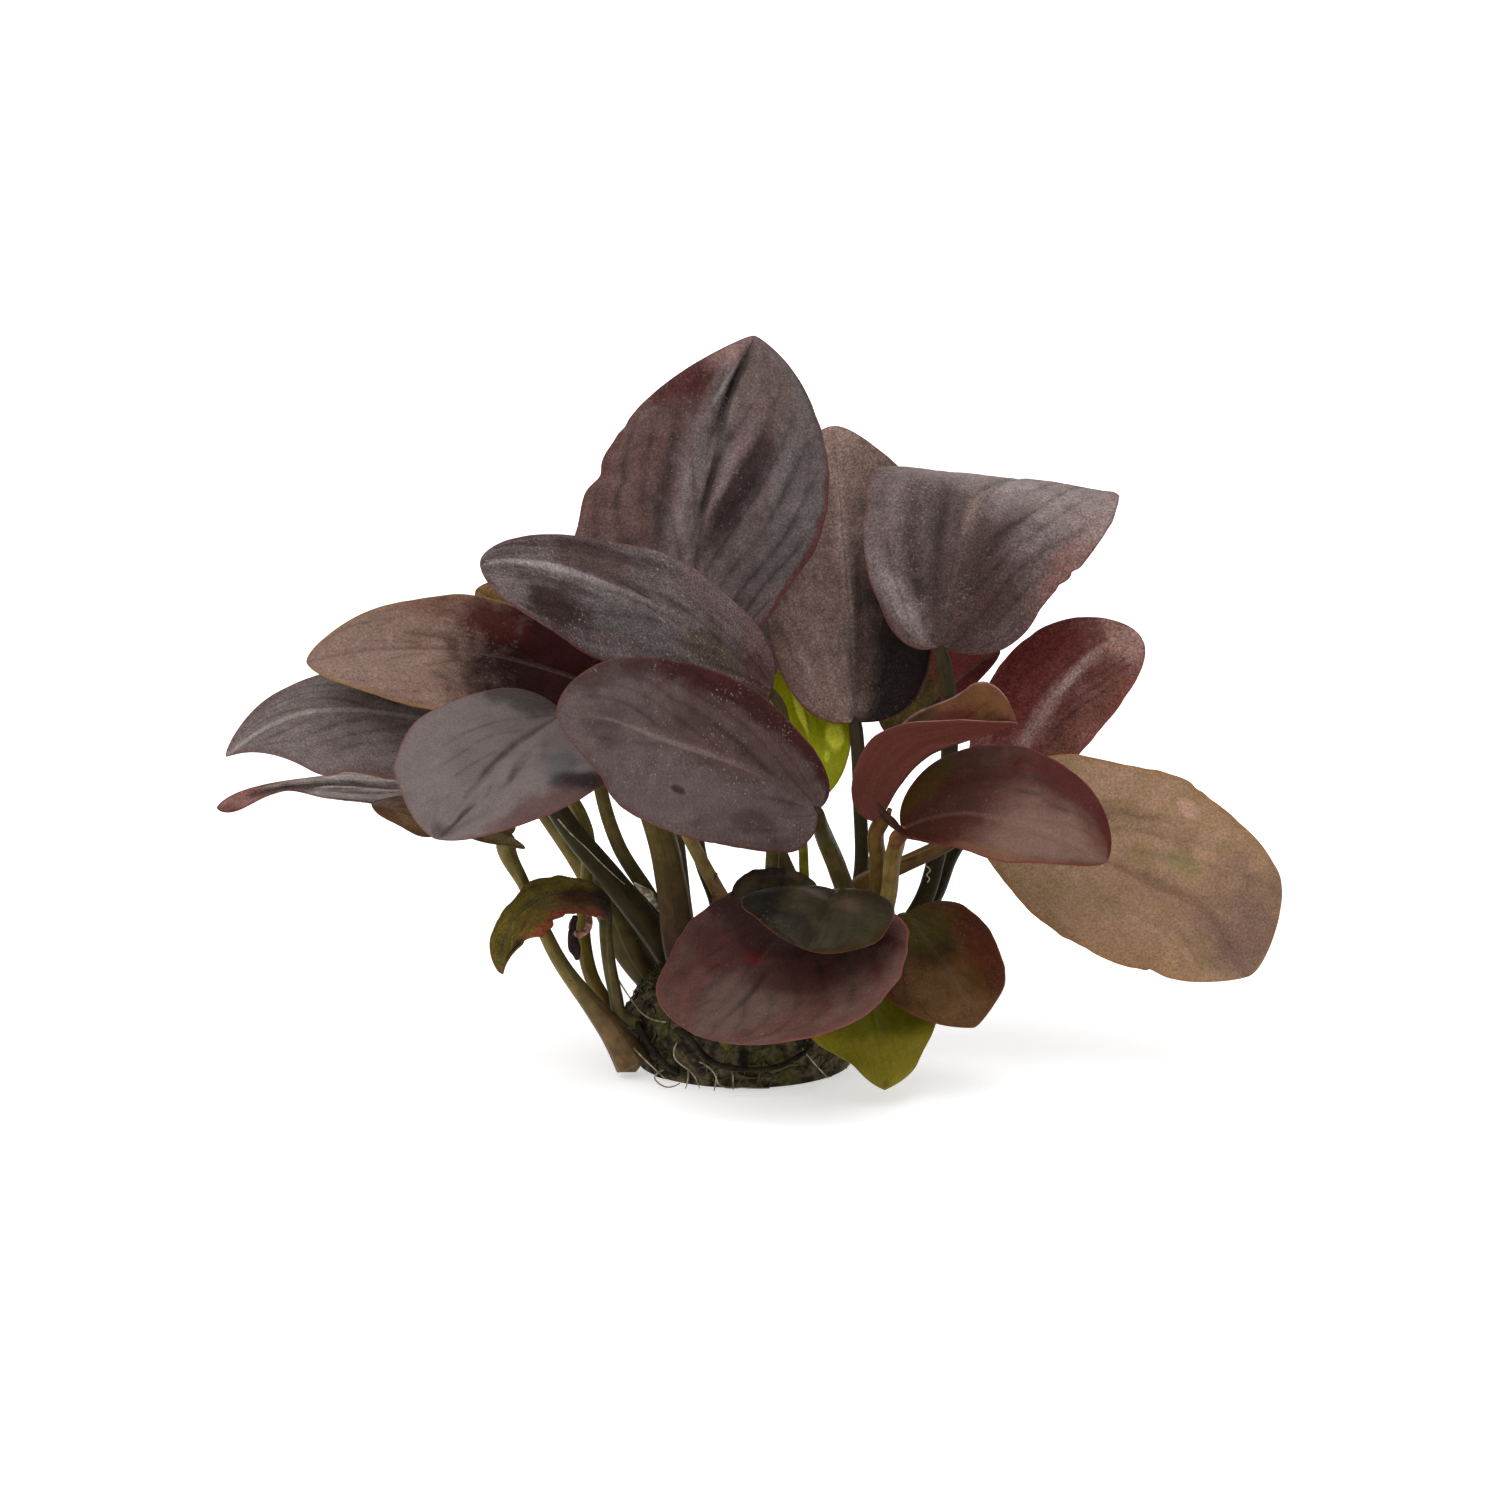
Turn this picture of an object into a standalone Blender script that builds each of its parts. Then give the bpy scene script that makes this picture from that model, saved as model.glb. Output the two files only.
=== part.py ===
"""Lagenandra meeboldii, the red form: a clump of leaves on stalks, rising from a creeping
stem on a plug of growing medium that is cut off flat below.

The frame: +X right and +Y back as the plant is looked at from its front, +Z up, with the
origin at the centre of the flat face that the plug rests on. The sizes below are in
millimetres and degrees; Blender gets metres.
"""

import math
from dataclasses import dataclass

import bmesh
import bpy
from mathutils import Matrix, Vector, noise

MM = 0.001
GAP = 0.42

# Growing medium, with one mossy hump near its left edge
PLUG_PROFILE = ((19.5, 0), (20.6, 5), (21.4, 10), (19.6, 13.2), (13, 14.8), (6, 15.4))
PLUG_CROWN = 15.6
PLUG_SPOKES = 26
PLUG_LUMP = 0.8
PLUG_GRAIN = 7.0
HUMP_CENTRE = (-16.5, -1.5)
HUMP_HEIGHT = 3.5
HUMP_SPREAD = 3.6

# Creeping stem, half sunk in the plug, that the leaf stalks stand around
STEM_PATH = ((-13, 3, 12.5), (-6, 5, 15.5), (3, 4.5, 16.5), (12, 3.5, 16), (20, 1, 13.5))
STEM_RADII = (3.4, 4.6, 4.2, 4.6, 3.2)

# Roots that surface at the plug's front, and the radius at the two ends of each
ROOTS = {
    "thick": ((-7, -18, 12), (-5.6, -21.6, 12.5), (-3.8, -22.6, 9.8), (-2.6, -20, 7.6)),
    "arch": ((-12, -17, 10), (-9.5, -21, 9.4), (-6, -23, 6), (0, -23.4, 4.6), (6, -22.9, 5), (12, -20, 8)),
    "long": ((-19, -9, 9), (-18.8, -12.6, 9), (-16.5, -14.8, 6), (-13.5, -17.6, 3.5), (-12, -16, 2)),
}
ROOT_RADII = {"thick": (0.9, 0.8), "arch": (0.6, 0.5), "long": (0.6, 0.5)}

# Dry sheath of a lost leaf, a thin spike
SHEATH_PATH = ((-5, 5, 15), (-5.4, 5.4, 25), (-5.2, 5.4, 33.6))
SHEATH_RADII = (1.1, 0.9, 0.3)

# Blades and stalks
BLADE_ROWS = 8
BLADE_COLUMNS = 6
BLADE_THICKNESS = 1.5
BLADE_EDGE_SHARE = 0.4
STALK_SIDES = 8
STALK_RINGS = 8
LOBE_FADE = 4

# Colours
SOIL = (0.035, 0.027, 0.015)
STEM_BROWN = (0.09, 0.075, 0.03)
ROOT_TAN = (0.2, 0.17, 0.08)
DRY_BROWN = (0.22, 0.1, 0.05)
STALK_OLIVE = (0.12, 0.1, 0.035)
DARK_LEAF = (0.075, 0.045, 0.045)


@dataclass(frozen=True)
class Leaf:
    """One leaf. left and right are the viewer's, facing the upper side with the tip up."""

    name: str
    stalk: tuple  # points from the foot in the plug up to the neck below the blade
    stalk_radii: tuple  # from foot to neck
    midrib: tuple  # points from the blade's base to its tip
    face: tuple  # where the upper side faces, in even steps from base to tip
    left: tuple  # half widths in even steps from base to tip, before the ends are rounded
    right: tuple
    fold: tuple = (12, 12)  # rise of the left and right half from the midrib
    curl: tuple = (-12, -12)  # further turn of each half between midrib and margin
    ends: tuple = (0.45, 0.6)  # sharpness of base and tip, 0.5 for an ellipse's end
    lobe: tuple = (0.05, 0.05)  # reach of the left and right basal lobe, as a share of the length
    wave: float = 0.5  # height of the ripples in the margin
    ripples: float = 2.5  # ripples along each margin


LEAVES = (
    Leaf(
        "tall",
        stalk=((-3, 12, 14), (-5.5, 13, 31), (-8, 12, 46), (-9.8, 8.4, 73)),
        stalk_radii=(1.5, 1.2, 1.1),
        midrib=((-9.9, 8, 74.4), (-8, 13, 94), (-4, 19, 113), (1.9, 26, 129.2)),
        face=((0.1, -1, 0.3), (0, -1, 0.3)),
        left=(22, 22, 19, 10),
        right=(22, 23, 24, 25),
        fold=(15, 15),
        curl=(-20, -20),
        ends=(0.45, 0.7),
    ),
    Leaf(
        "centre",
        stalk=((13, 8, 14), (18.3, 9.8, 22), (20.8, 10.2, 29.5), (21.5, 12, 46), (20.5, 17.6, 57.6)),
        stalk_radii=(1.5, 1.2, 1.1),
        midrib=((20.3, 18, 59), (19.4, 26, 76.5), (18.1, 36, 93.2), (16.5, 46, 108.6)),
        face=((0, -1, 0.3), (0, -1, 0.3)),
        left=(16,),
        right=(17, 17, 20),
        fold=(15, 20),
    ),
    Leaf(
        "arched",
        stalk=(
            (17, 7.8, 13.5),
            (26.5, 7, 20),
            (31.6, 6.5, 27.8),
            (34.4, 6.8, 36.3),
            (36.3, 7.2, 43),
            (37.3, 6.5, 52),
            (36.5, 3.6, 74),
        ),
        stalk_radii=(2, 1.7, 1.6, 1.4),
        midrib=((35.2, 4, 75.7), (37.4, 6, 87.4), (41.7, 12, 97), (49.5, 30, 101.8), (59, 50, 94)),
        face=((0.1, -1, 0.2), (0.15, -0.8, 0.6), (0.15, 0.2, 1), (0.2, 0.6, 0.8)),
        left=(15, 21, 22, 14),
        right=(25, 22, 23, 20),
        fold=(8, 6),
        curl=(-35, -20),
        lobe=(0.12, 0.12),
    ),
    Leaf(
        "long",
        stalk=((4, 4, 14), (4.8, 4, 31), (5, 2, 37), (5.5, -2, 49), (5.4, -5.6, 68.4)),
        stalk_radii=(1.4, 1.2, 1.0),
        midrib=((4.9, -6, 69.8), (-4.3, -14, 79), (-18, -22, 88), (-32, -28, 94), (-45.8, -34, 96.5)),
        face=((0.4, -0.7, 0.7), (0.2, -0.6, 0.8), (0, -0.5, 0.85)),
        left=(14, 14, 16),
        right=(15, 13.5, 12),
        fold=(-5, 10),
        curl=(-20, -10),
        ends=(0.45, 0.5),
    ),
    Leaf(
        "broad",
        stalk=(
            (13.5, -0.4, 13.5),
            (18, -1, 21),
            (19.2, -2, 29),
            (16.8, -5, 36.6),
            (14.6, -10, 43),
            (12.5, -20, 49.5),
        ),
        stalk_radii=(2, 1.8, 1.7, 1.4),
        midrib=(
            (11.9, -22, 51.3),
            (-0.7, -33, 62),
            (-14.4, -43, 69),
            (-24.4, -50, 74),
            (-31.6, -54, 75),
        ),
        face=((0.05, -0.88, 0.45), (0.05, -0.88, 0.45), (-0.1, -0.85, 0.5)),
        left=(14, 15.3, 16.8, 19),
        right=(10, 13, 15.5, 16.5),
        fold=(0, 12),
        curl=(-10, -15),
        lobe=(0.1, 0.1),
    ),
    Leaf(
        "drooping",
        stalk=(
            (-8.5, -4, 13),
            (-10.5, -3, 21),
            (-11.7, -4, 33),
            (-15, -8, 43),
            (-20, -13, 55),
            (-30.2, -17.8, 67),
        ),
        stalk_radii=(3, 2.7, 2.6, 2),
        midrib=((-31.5, -20, 68.3), (-40.5, -32, 63.9), (-47.6, -44, 58.2), (-53, -50, 52)),
        face=((-0.2, -0.8, 0.6), (-0.4, -0.6, 0.7)),
        left=(26, 25, 23),
        right=(17, 20, 19),
        fold=(12, 6),
        lobe=(0.3, 0.1),
    ),
    Leaf(
        "bronze",
        stalk=(
            (-10.5, 8.5, 14),
            (-14, 7.5, 22),
            (-17.4, 7, 29),
            (-22.6, 5, 39),
            (-26.4, 4.5, 58),
            (-25.8, 4.2, 66.6),
        ),
        stalk_radii=(1.6, 1.3, 1.2),
        midrib=((-26, 4, 67.9), (-44.3, 2, 74.3), (-62, -2, 76.4), (-78, -6, 74.7)),
        face=((0, -0.7, 0.7), (-0.2, -0.7, 0.7)),
        left=(13, 15.4, 15),
        right=(11, 11, 9),
    ),
    Leaf(
        "grey",
        stalk=(
            (-9, 3.5, 13),
            (-12, 3.5, 16),
            (-16, 2.6, 22.5),
            (-23, 1.2, 32),
            (-30, 0.2, 40),
            (-46.3, -2, 60),
        ),
        stalk_radii=(2.6, 2.5, 2.3, 1.5),
        midrib=((-47.5, -2, 60.8), (-61.7, -3, 64.5), (-79, -6, 65.4), (-92.3, -10, 58.5)),
        face=((0, -0.6, 0.8), (-0.3, -0.6, 0.8)),
        left=(11, 13.4, 15, 6),
        right=(10.6, 10.6, 9, 5),
        fold=(0, 10),
        ends=(0.45, 0.75),
    ),
    Leaf(
        "twisted",
        stalk=(
            (-16.5, -3, 8),
            (-22, -4, 9.5),
            (-25.7, -3.5, 14.5),
            (-28.8, 1, 22.4),
            (-29, 5.3, 33),
            (-30, 5.6, 42),
            (-34, 6, 48),
            (-43, 6.8, 48.5),
        ),
        stalk_radii=(1.3, 1.2, 1.0),
        midrib=((-44.5, 7, 48.6), (-63, 8, 48.6), (-75.7, 9, 49.1), (-84.5, 10, 49), (-96.3, 10, 45.5)),
        face=((0, -0.3, 1), (0, -0.3, 1), (0, -0.9, 0.4)),
        left=(8, 8, 6, 1, 5),
        right=(8, 7, 4, 1, 4),
    ),
    Leaf(
        "level",
        stalk=(
            (-15, -7, 4),
            (-20.5, -8.5, 4.2),
            (-26, -10, 12),
            (-32, -8.5, 21),
            (-36.8, -6.5, 29),
            (-41.6, -6.2, 41.2),
        ),
        stalk_radii=(3, 2, 1.6, 1.3, 1.9),
        midrib=((-42, -7, 43.4), (-52.5, -9, 46.8), (-66.4, -12, 50.2)),
        face=((0, -0.35, 1), (0, -0.35, 1)),
        left=(6, 6.5, 8),
        right=(8, 6, 3),
        lobe=(0.4, 0.2),
        ends=(0.45, 0.45),
    ),
    Leaf(
        "chewed",
        stalk=(
            (-15.5, -8, 9.5),
            (-20.5, -8.6, 10.6),
            (-23.4, -8.6, 14.5),
            (-24.6, -8, 20),
            (-24.2, -6.4, 28.4),
        ),
        stalk_radii=(1.2, 1.0, 0.9),
        midrib=(
            (-24.2, -6, 29.8),
            (-29.5, -9, 33.5),
            (-37, -14, 33.5),
            (-43, -18, 28.7),
            (-43.6, -22, 22),
        ),
        face=((0, -0.5, 0.9), (-0.5, -0.5, 0.9)),
        left=(6,),
        right=(5,),
    ),
    Leaf(
        "low",
        stalk=((4, -5, 14), (6.5, -10, 21), (7.6, -17, 26), (7.4, -23, 29.5)),
        stalk_radii=(1.6, 1.4, 1.2),
        midrib=((7.3, -24.6, 31), (-0.5, -36, 23.6), (-8.5, -46, 17)),
        face=((0, -0.6, 0.8), (-0.1, -0.7, 0.7)),
        left=(29, 27.5, 20),
        right=(14, 14, 13, 19),
        fold=(24, 8),
        lobe=(0.7, 0.42),
        ends=(0.35, 0.36),
    ),
    Leaf(
        "saddle",
        stalk=((9.5, -4, 14), (12.5, -8.5, 25), (15, -15, 33.5), (16, -23, 36.6), (16.2, -28.5, 37.8)),
        stalk_radii=(1.3, 1.1, 1.0),
        midrib=((16, -30, 38.8), (14, -40, 37.9), (10.7, -50, 33.2)),
        face=((0, -0.1, 1), (0, -0.5, 0.9), (0, -0.9, 0.5)),
        left=(12.5,),
        right=(16,),
        fold=(25, 25),
        curl=(-60, -60),
        lobe=(0.2, 0.2),
    ),
    Leaf(
        "round",
        stalk=((14, -13, 10.5), (21, -13.4, 14.5), (26.6, -10, 21), (28.4, -8.2, 28.4)),
        stalk_radii=(1.4, 1.2, 1.1),
        midrib=((28.8, -10, 29.6), (35.7, -20, 21.8), (40.5, -30, 14.4)),
        face=((0.2, -0.8, 0.6), (0.2, -0.8, 0.6)),
        left=(12.5, 12, 11),
        right=(13, 13, 18),
    ),
    Leaf(
        "lime",
        stalk=((9, -14.5, 11.5), (15, -14, 17), (20, -13.5, 19.6), (22, -15.3, 19.2)),
        stalk_radii=(1.4, 1.1, 1.0),
        midrib=((22.4, -17, 17.8), (23.6, -26, 10.7), (24.7, -33, 3.5)),
        face=((0, -0.8, 0.6), (0, -0.8, 0.6)),
        left=(12,),
        right=(15, 15, 15),
        ends=(0.5, 1.1),
    ),
    Leaf(
        "olive",
        stalk=(
            (17, 3.2, 13.5),
            (17.6, 3.6, 26),
            (21, 3.6, 31.8),
            (28, 3.6, 36),
            (35, 3.2, 39.4),
            (42, 4.8, 42.3),
        ),
        stalk_radii=(1.8, 1.6, 1.4),
        midrib=((43.7, 6, 43.7), (57, 3, 40), (71, -2, 34.5), (85, -8, 28), (93.5, -13, 23)),
        face=((0.3, -0.9, 0.5), (0.3, -0.9, 0.5)),
        left=(19, 20, 20.5),
        right=(17, 18, 20),
        ends=(0.45, 0.45),
    ),
    Leaf(
        "wine",
        stalk=(
            (14.5, -8, 13),
            (22, -9.3, 21),
            (25.8, -9, 33),
            (26.4, -11, 40),
            (27, -13, 43),
            (27.3, -15, 44.8),
        ),
        stalk_radii=(1.5, 1.4, 1.1),
        midrib=((28, -16, 46.4), (38, -22, 50.6), (50, -29, 49.7), (63, -35, 45.2)),
        face=((0.1, -0.7, 0.7), (0.3, -0.7, 0.6)),
        left=(10, 15.5, 15.5),
        right=(5, 9, 9),
    ),
    Leaf(
        "rolled",
        stalk=((18, -4, 13), (21.4, -5, 22), (23.7, -5, 33), (23.6, -7, 39), (23.8, -9.6, 45.5)),
        stalk_radii=(1.4, 1.3, 1.1),
        midrib=(
            (24.2, -10, 46.6),
            (27.7, -12, 53),
            (33.7, -15, 60),
            (42.4, -18, 64.3),
            (48, -20, 66.5),
        ),
        face=((-0.8, 0.1, 0.7), (-0.3, -0.5, 0.9)),
        left=(6, 6, 8, 13.5),
        right=(9, 11.5, 6.5, 3),
        fold=(60, 75),
        ends=(0.45, 0.35),
    ),
    Leaf(
        "ruby",
        stalk=(
            (16, 12, 13),
            (26.5, 11, 18.5),
            (34.1, 11, 27.6),
            (37.6, 12, 35.5),
            (41, 12.8, 40),
            (45.2, 13.8, 45),
        ),
        stalk_radii=(1.7, 1.5, 1.2),
        midrib=((45.9, 14, 46.2), (51, 18, 54), (61, 26, 65.3), (73.4, 32, 71.5)),
        face=((-0.1, -1, 0.5), (-0.1, -1, 0.5)),
        left=(12,),
        right=(12.5, 13, 14),
        ends=(0.45, 0.5),
    ),
    Leaf(
        "speckled",
        stalk=((12, 13.5, 13.5), (20, 15, 24), (24, 16, 34), (25.3, 18, 45), (27, 21.6, 53.4)),
        stalk_radii=(1.3, 1.1, 1.0),
        midrib=((27.4, 22, 54.8), (40, 28, 65), (52, 34, 74.7)),
        face=((0, -1, 0.2), (0, -1, 0.2)),
        left=(10,),
        right=(10,),
    ),
    Leaf(
        "bright",
        stalk=((7, 14, 14), (11, 14.5, 25), (11.3, 14.5, 33.5), (11.2, 15.2, 44)),
        stalk_radii=(0.9, 0.8),
        midrib=((11.5, 16, 45), (12.4, 22, 54.8), (7.5, 28, 68.7)),
        face=((0, -1, 0.3), (0, -1, 0.3)),
        left=(8,),
        right=(8,),
    ),
    Leaf(
        "tucked",
        stalk=(
            (0, 9.5, 14),
            (-2.8, 8.5, 25.7),
            (-4.8, 8.5, 30.4),
            (-9, 8.5, 39),
            (-15.4, 10, 52),
            (-17, 12.6, 62.6),
        ),
        stalk_radii=(1.5, 1.4, 1.1),
        midrib=((-17.2, 14, 64), (-33.6, 14, 75), (-48.7, 12, 84.7)),
        face=((0, -1, 0.3), (0, -1, 0.3)),
        left=(9,),
        right=(9,),
    ),
    Leaf(
        "rear_left",
        stalk=(
            (-14, 12, 12),
            (-19, 11, 17.3),
            (-24, 11.3, 25),
            (-31, 12.5, 34),
            (-38, 16, 43),
            (-44, 24.6, 51.6),
        ),
        stalk_radii=(2.4, 2.2, 1.6),
        midrib=((-45, 26, 52.5), (-57, 40, 59), (-66, 56, 57)),
        face=((0.2, -0.1, 1), (-0.3, 0.4, 0.9)),
        left=(13,),
        right=(13,),
    ),
    Leaf(
        "rear_middle",
        stalk=((-7, 15.5, 13), (-9, 16, 28), (-12, 17, 38), (-14, 22, 52), (-14, 30.8, 64.8)),
        stalk_radii=(1.4, 1.2, 1.0),
        midrib=((-14, 32, 66), (-12, 44, 80), (-8, 60, 88)),
        face=((0, -0.2, 1), (0, 0.4, 0.9)),
        left=(15,),
        right=(15,),
    ),
    Leaf(
        "rear_right",
        stalk=((9.4, 9.6, 14), (10, 10.4, 27.4), (7, 12, 35), (2, 17, 45), (-0.5, 28.8, 58.8)),
        stalk_radii=(1.5, 1.4, 1.1),
        midrib=((0, 30, 60), (8, 46, 70), (16, 64, 72)),
        face=((0, -0.2, 1), (0.2, 0.4, 0.9)),
        left=(15,),
        right=(15,),
    ),
)


def smooth_path(points, share):
    """The point at a share, 0 to 1, of the way along a smooth curve through the points."""
    points = [Vector(point) for point in points]
    if len(points) == 2:
        return points[0].lerp(points[1], share)
    knots = [0.0]
    for start, end in zip(points, points[1:]):
        knots.append(knots[-1] + (end - start).length)
    slopes = []
    for i in range(1, len(points) - 1):
        before = (points[i] - points[i - 1]) / (knots[i] - knots[i - 1])
        after = (points[i + 1] - points[i]) / (knots[i + 1] - knots[i])
        weight = (knots[i + 1] - knots[i]) / (knots[i + 1] - knots[i - 1])
        slopes.append(before * weight + after * (1 - weight))
    first = 2 * (points[1] - points[0]) / (knots[1] - knots[0]) - slopes[0]
    last = 2 * (points[-1] - points[-2]) / (knots[-1] - knots[-2]) - slopes[-1]
    slopes = [first] + slopes + [last]
    along = min(max(share, 0.0), 1.0) * knots[-1]
    i = max(k for k in range(len(points) - 1) if knots[k] <= along)
    span = knots[i + 1] - knots[i]
    t = (along - knots[i]) / span
    return (
        points[i] * (2 * t**3 - 3 * t**2 + 1)
        + slopes[i] * span * (t**3 - 2 * t**2 + t)
        + points[i + 1] * (3 * t**2 - 2 * t**3)
        + slopes[i + 1] * span * (t**3 - t**2)
    )


def smooth_value(values, share):
    """The value at a share of the way along a smooth curve through evenly spaced values."""
    if len(values) == 1:
        return values[0]
    place = min(max(share, 0.0), 1.0) * (len(values) - 1)
    i = min(int(place), len(values) - 2)
    t = place - i
    start, end = values[i], values[i + 1]
    into = (end - values[i - 1]) * 0.5 if i > 0 else end - start
    out = (values[i + 2] - start) * 0.5 if i + 2 < len(values) else end - start
    return (
        start * (2 * t**3 - 3 * t**2 + 1)
        + into * (t**3 - 2 * t**2 + t)
        + end * (3 * t**2 - 2 * t**3)
        + out * (t**3 - t**2)
    )


def blade_point(leaf, share, across):
    """A point of the upper surface: share runs 0 to 1 up the midrib, across -1 to 1."""
    step = 0.004
    ahead = smooth_path(leaf.midrib, share + step)
    behind = smooth_path(leaf.midrib, share - step)
    tangent = (ahead - behind).normalized()
    facing = smooth_value([Vector(face).normalized() for face in leaf.face], share)
    up = (facing - tangent * facing.dot(tangent)).normalized()
    side = tangent.cross(up)

    base, tip = leaf.ends
    widest = base / (base + tip)
    fullness = share**base * (1 - share) ** tip / (widest**base * (1 - widest) ** tip)
    right = across > 0
    width = smooth_value(leaf.right if right else leaf.left, share) * fullness
    fold = math.radians(leaf.fold[right])
    curl = math.radians(leaf.curl[right])
    reach = abs(across)
    if abs(curl) < 1e-4:
        out = width * reach * math.cos(fold)
        rise = width * reach * math.sin(fold)
    else:
        turned = fold + curl * reach
        out = width * (math.sin(turned) - math.sin(fold)) / curl
        rise = width * (math.cos(fold) - math.cos(turned)) / curl
    phase = 1.3 if right else 0.2
    ripple = math.sin(2 * math.pi * leaf.ripples * share + phase) * math.sin(math.pi * share)
    rise += leaf.wave * ripple * reach**2
    length = (Vector(leaf.midrib[-1]) - Vector(leaf.midrib[0])).length
    back = leaf.lobe[right] * length * fullness * reach**1.5 * (1 - share) ** LOBE_FADE
    out = out if right else -out
    return smooth_path(leaf.midrib, share) + side * out + up * rise - tangent * back


def link(obj, colour, roughness=0.6):
    """Puts the object in the plant's collection, on its empty, with its own material."""
    material = bpy.data.materials.new(obj.name)
    material.use_nodes = True
    shader = material.node_tree.nodes["Principled BSDF"]
    shader.inputs["Base Color"].default_value = (*colour, 1)
    shader.inputs["Roughness"].default_value = roughness
    shader.inputs["Metallic"].default_value = 0
    obj.data.materials.append(material)
    obj.parent = bpy.data.objects["clump"]
    bpy.data.collections["lagenandra"].objects.link(obj)
    return obj


def link_cutter(obj):
    """Puts the object with the cutters, which only shape other pieces."""
    obj.hide_render = True
    obj.display_type = "WIRE"
    bpy.data.collections["cutters"].objects.link(obj)
    return obj


def cut(obj, cutters):
    """Takes each cutter out of the object."""
    for cutter in cutters:
        boolean = obj.modifiers.new(cutter.name, "BOOLEAN")
        boolean.operation = "DIFFERENCE"
        boolean.solver = "EXACT"
        boolean.object = cutter


def make_blade(leaf):
    """A grid bent to the blade's surface, thick at the midrib's base and thin at the margin.

    The object's origin is where the blade joins its stalk.
    """
    origin = Vector(leaf.midrib[0]) * MM
    mesh = bpy.data.meshes.new("leaf_" + leaf.name)
    bm = bmesh.new()
    bmesh.ops.create_grid(bm, x_segments=BLADE_COLUMNS, y_segments=BLADE_ROWS, size=1)
    flesh = bm.verts.layers.deform.verify()
    for vert in bm.verts:
        across, along = vert.co.x, vert.co.y
        share = (1 - math.cos(math.pi * (along + 1) / 2)) / 2
        keel = (1 - abs(across)) ** 2 * (1 - share)
        vert[flesh][0] = BLADE_EDGE_SHARE + (1 - BLADE_EDGE_SHARE) * keel
        vert.co = blade_point(leaf, share, across) * MM - origin
    bmesh.ops.remove_doubles(bm, verts=bm.verts, dist=0.01 * MM)
    bmesh.ops.recalc_face_normals(bm, faces=bm.faces)
    bm.to_mesh(mesh)
    bm.free()
    mesh.shade_smooth()
    obj = bpy.data.objects.new(mesh.name, mesh)
    obj.location = origin
    obj.vertex_groups.new(name="flesh")
    solidify = obj.modifiers.new("flesh", "SOLIDIFY")
    solidify.thickness = BLADE_THICKNESS * MM
    solidify.offset = 0
    solidify.vertex_group = "flesh"
    return obj


def make_tube(name, path, radii, rings=STALK_RINGS, sides=STALK_SIDES, grow=0.0):
    """A round stalk, stem or root along a smooth path, with radii at even steps.

    The object's origin is the path's first point.
    """
    origin = Vector(path[0]) * MM
    curve = bpy.data.curves.new(name, "CURVE")
    curve.dimensions = "3D"
    curve.bevel_depth = MM
    curve.bevel_resolution = sides // 2 - 2
    curve.use_fill_caps = True
    spline = curve.splines.new("POLY")
    spline.points.add(rings - 1)
    for i, point in enumerate(spline.points):
        share = i / (rings - 1)
        point.co = (*smooth_path(path, share) * MM - origin, 1)
        point.radius = smooth_value(radii, share) + grow
        if grow and i in (0, rings - 1):
            ahead = smooth_path(path, share + 0.01) - smooth_path(path, share - 0.01)
            point.co.xyz += ahead.normalized() * (grow if i else -grow) * MM
    tube = bpy.data.objects.new(name, curve)
    mesh = bpy.data.meshes.new_from_object(tube)
    bpy.data.objects.remove(tube)
    mesh.name = name
    bm = bmesh.new()
    bm.from_mesh(mesh)
    bmesh.ops.remove_doubles(bm, verts=bm.verts, dist=0.01 * MM)
    bm.to_mesh(mesh)
    bm.free()
    mesh.shade_smooth()
    obj = bpy.data.objects.new(name, mesh)
    obj.location = origin
    return obj


def make_plug(name, grow=0.0):
    """The lumpy, tapering plug: a profile spun about Z, flat below."""
    mesh = bpy.data.meshes.new(name)
    bm = bmesh.new()
    profile = [(0, 0), *PLUG_PROFILE, (0, PLUG_CROWN)]
    verts = [bm.verts.new((radius, 0, height)) for radius, height in profile]
    edges = [bm.edges.new(pair) for pair in zip(verts, verts[1:])]
    bmesh.ops.spin(bm, geom=verts + edges, axis=(0, 0, 1), angle=2 * math.pi, steps=PLUG_SPOKES)
    bmesh.ops.remove_doubles(bm, verts=bm.verts, dist=0.01)
    bmesh.ops.recalc_face_normals(bm, faces=bm.faces)
    bm.normal_update()
    for vert in bm.verts:
        outward = vert.normal.copy()
        if vert.co.z < 0.1:
            vert.co += Vector((vert.co.x, vert.co.y, 0)).normalized() * grow
            vert.co.z = -grow
            continue
        lump = noise.noise(vert.co / PLUG_GRAIN) * PLUG_LUMP
        away = (vert.co.xy - Vector(HUMP_CENTRE)).length / HUMP_SPREAD
        hump = HUMP_HEIGHT * math.exp(-away * away) if vert.co.z > 12 else 0
        vert.co += outward * (lump + grow) + Vector((0, 0, hump))
    bmesh.ops.transform(bm, matrix=Matrix.Scale(MM, 4), verts=bm.verts)
    bm.to_mesh(mesh)
    bm.free()
    mesh.shade_smooth()
    return bpy.data.objects.new(name, mesh)


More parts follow.
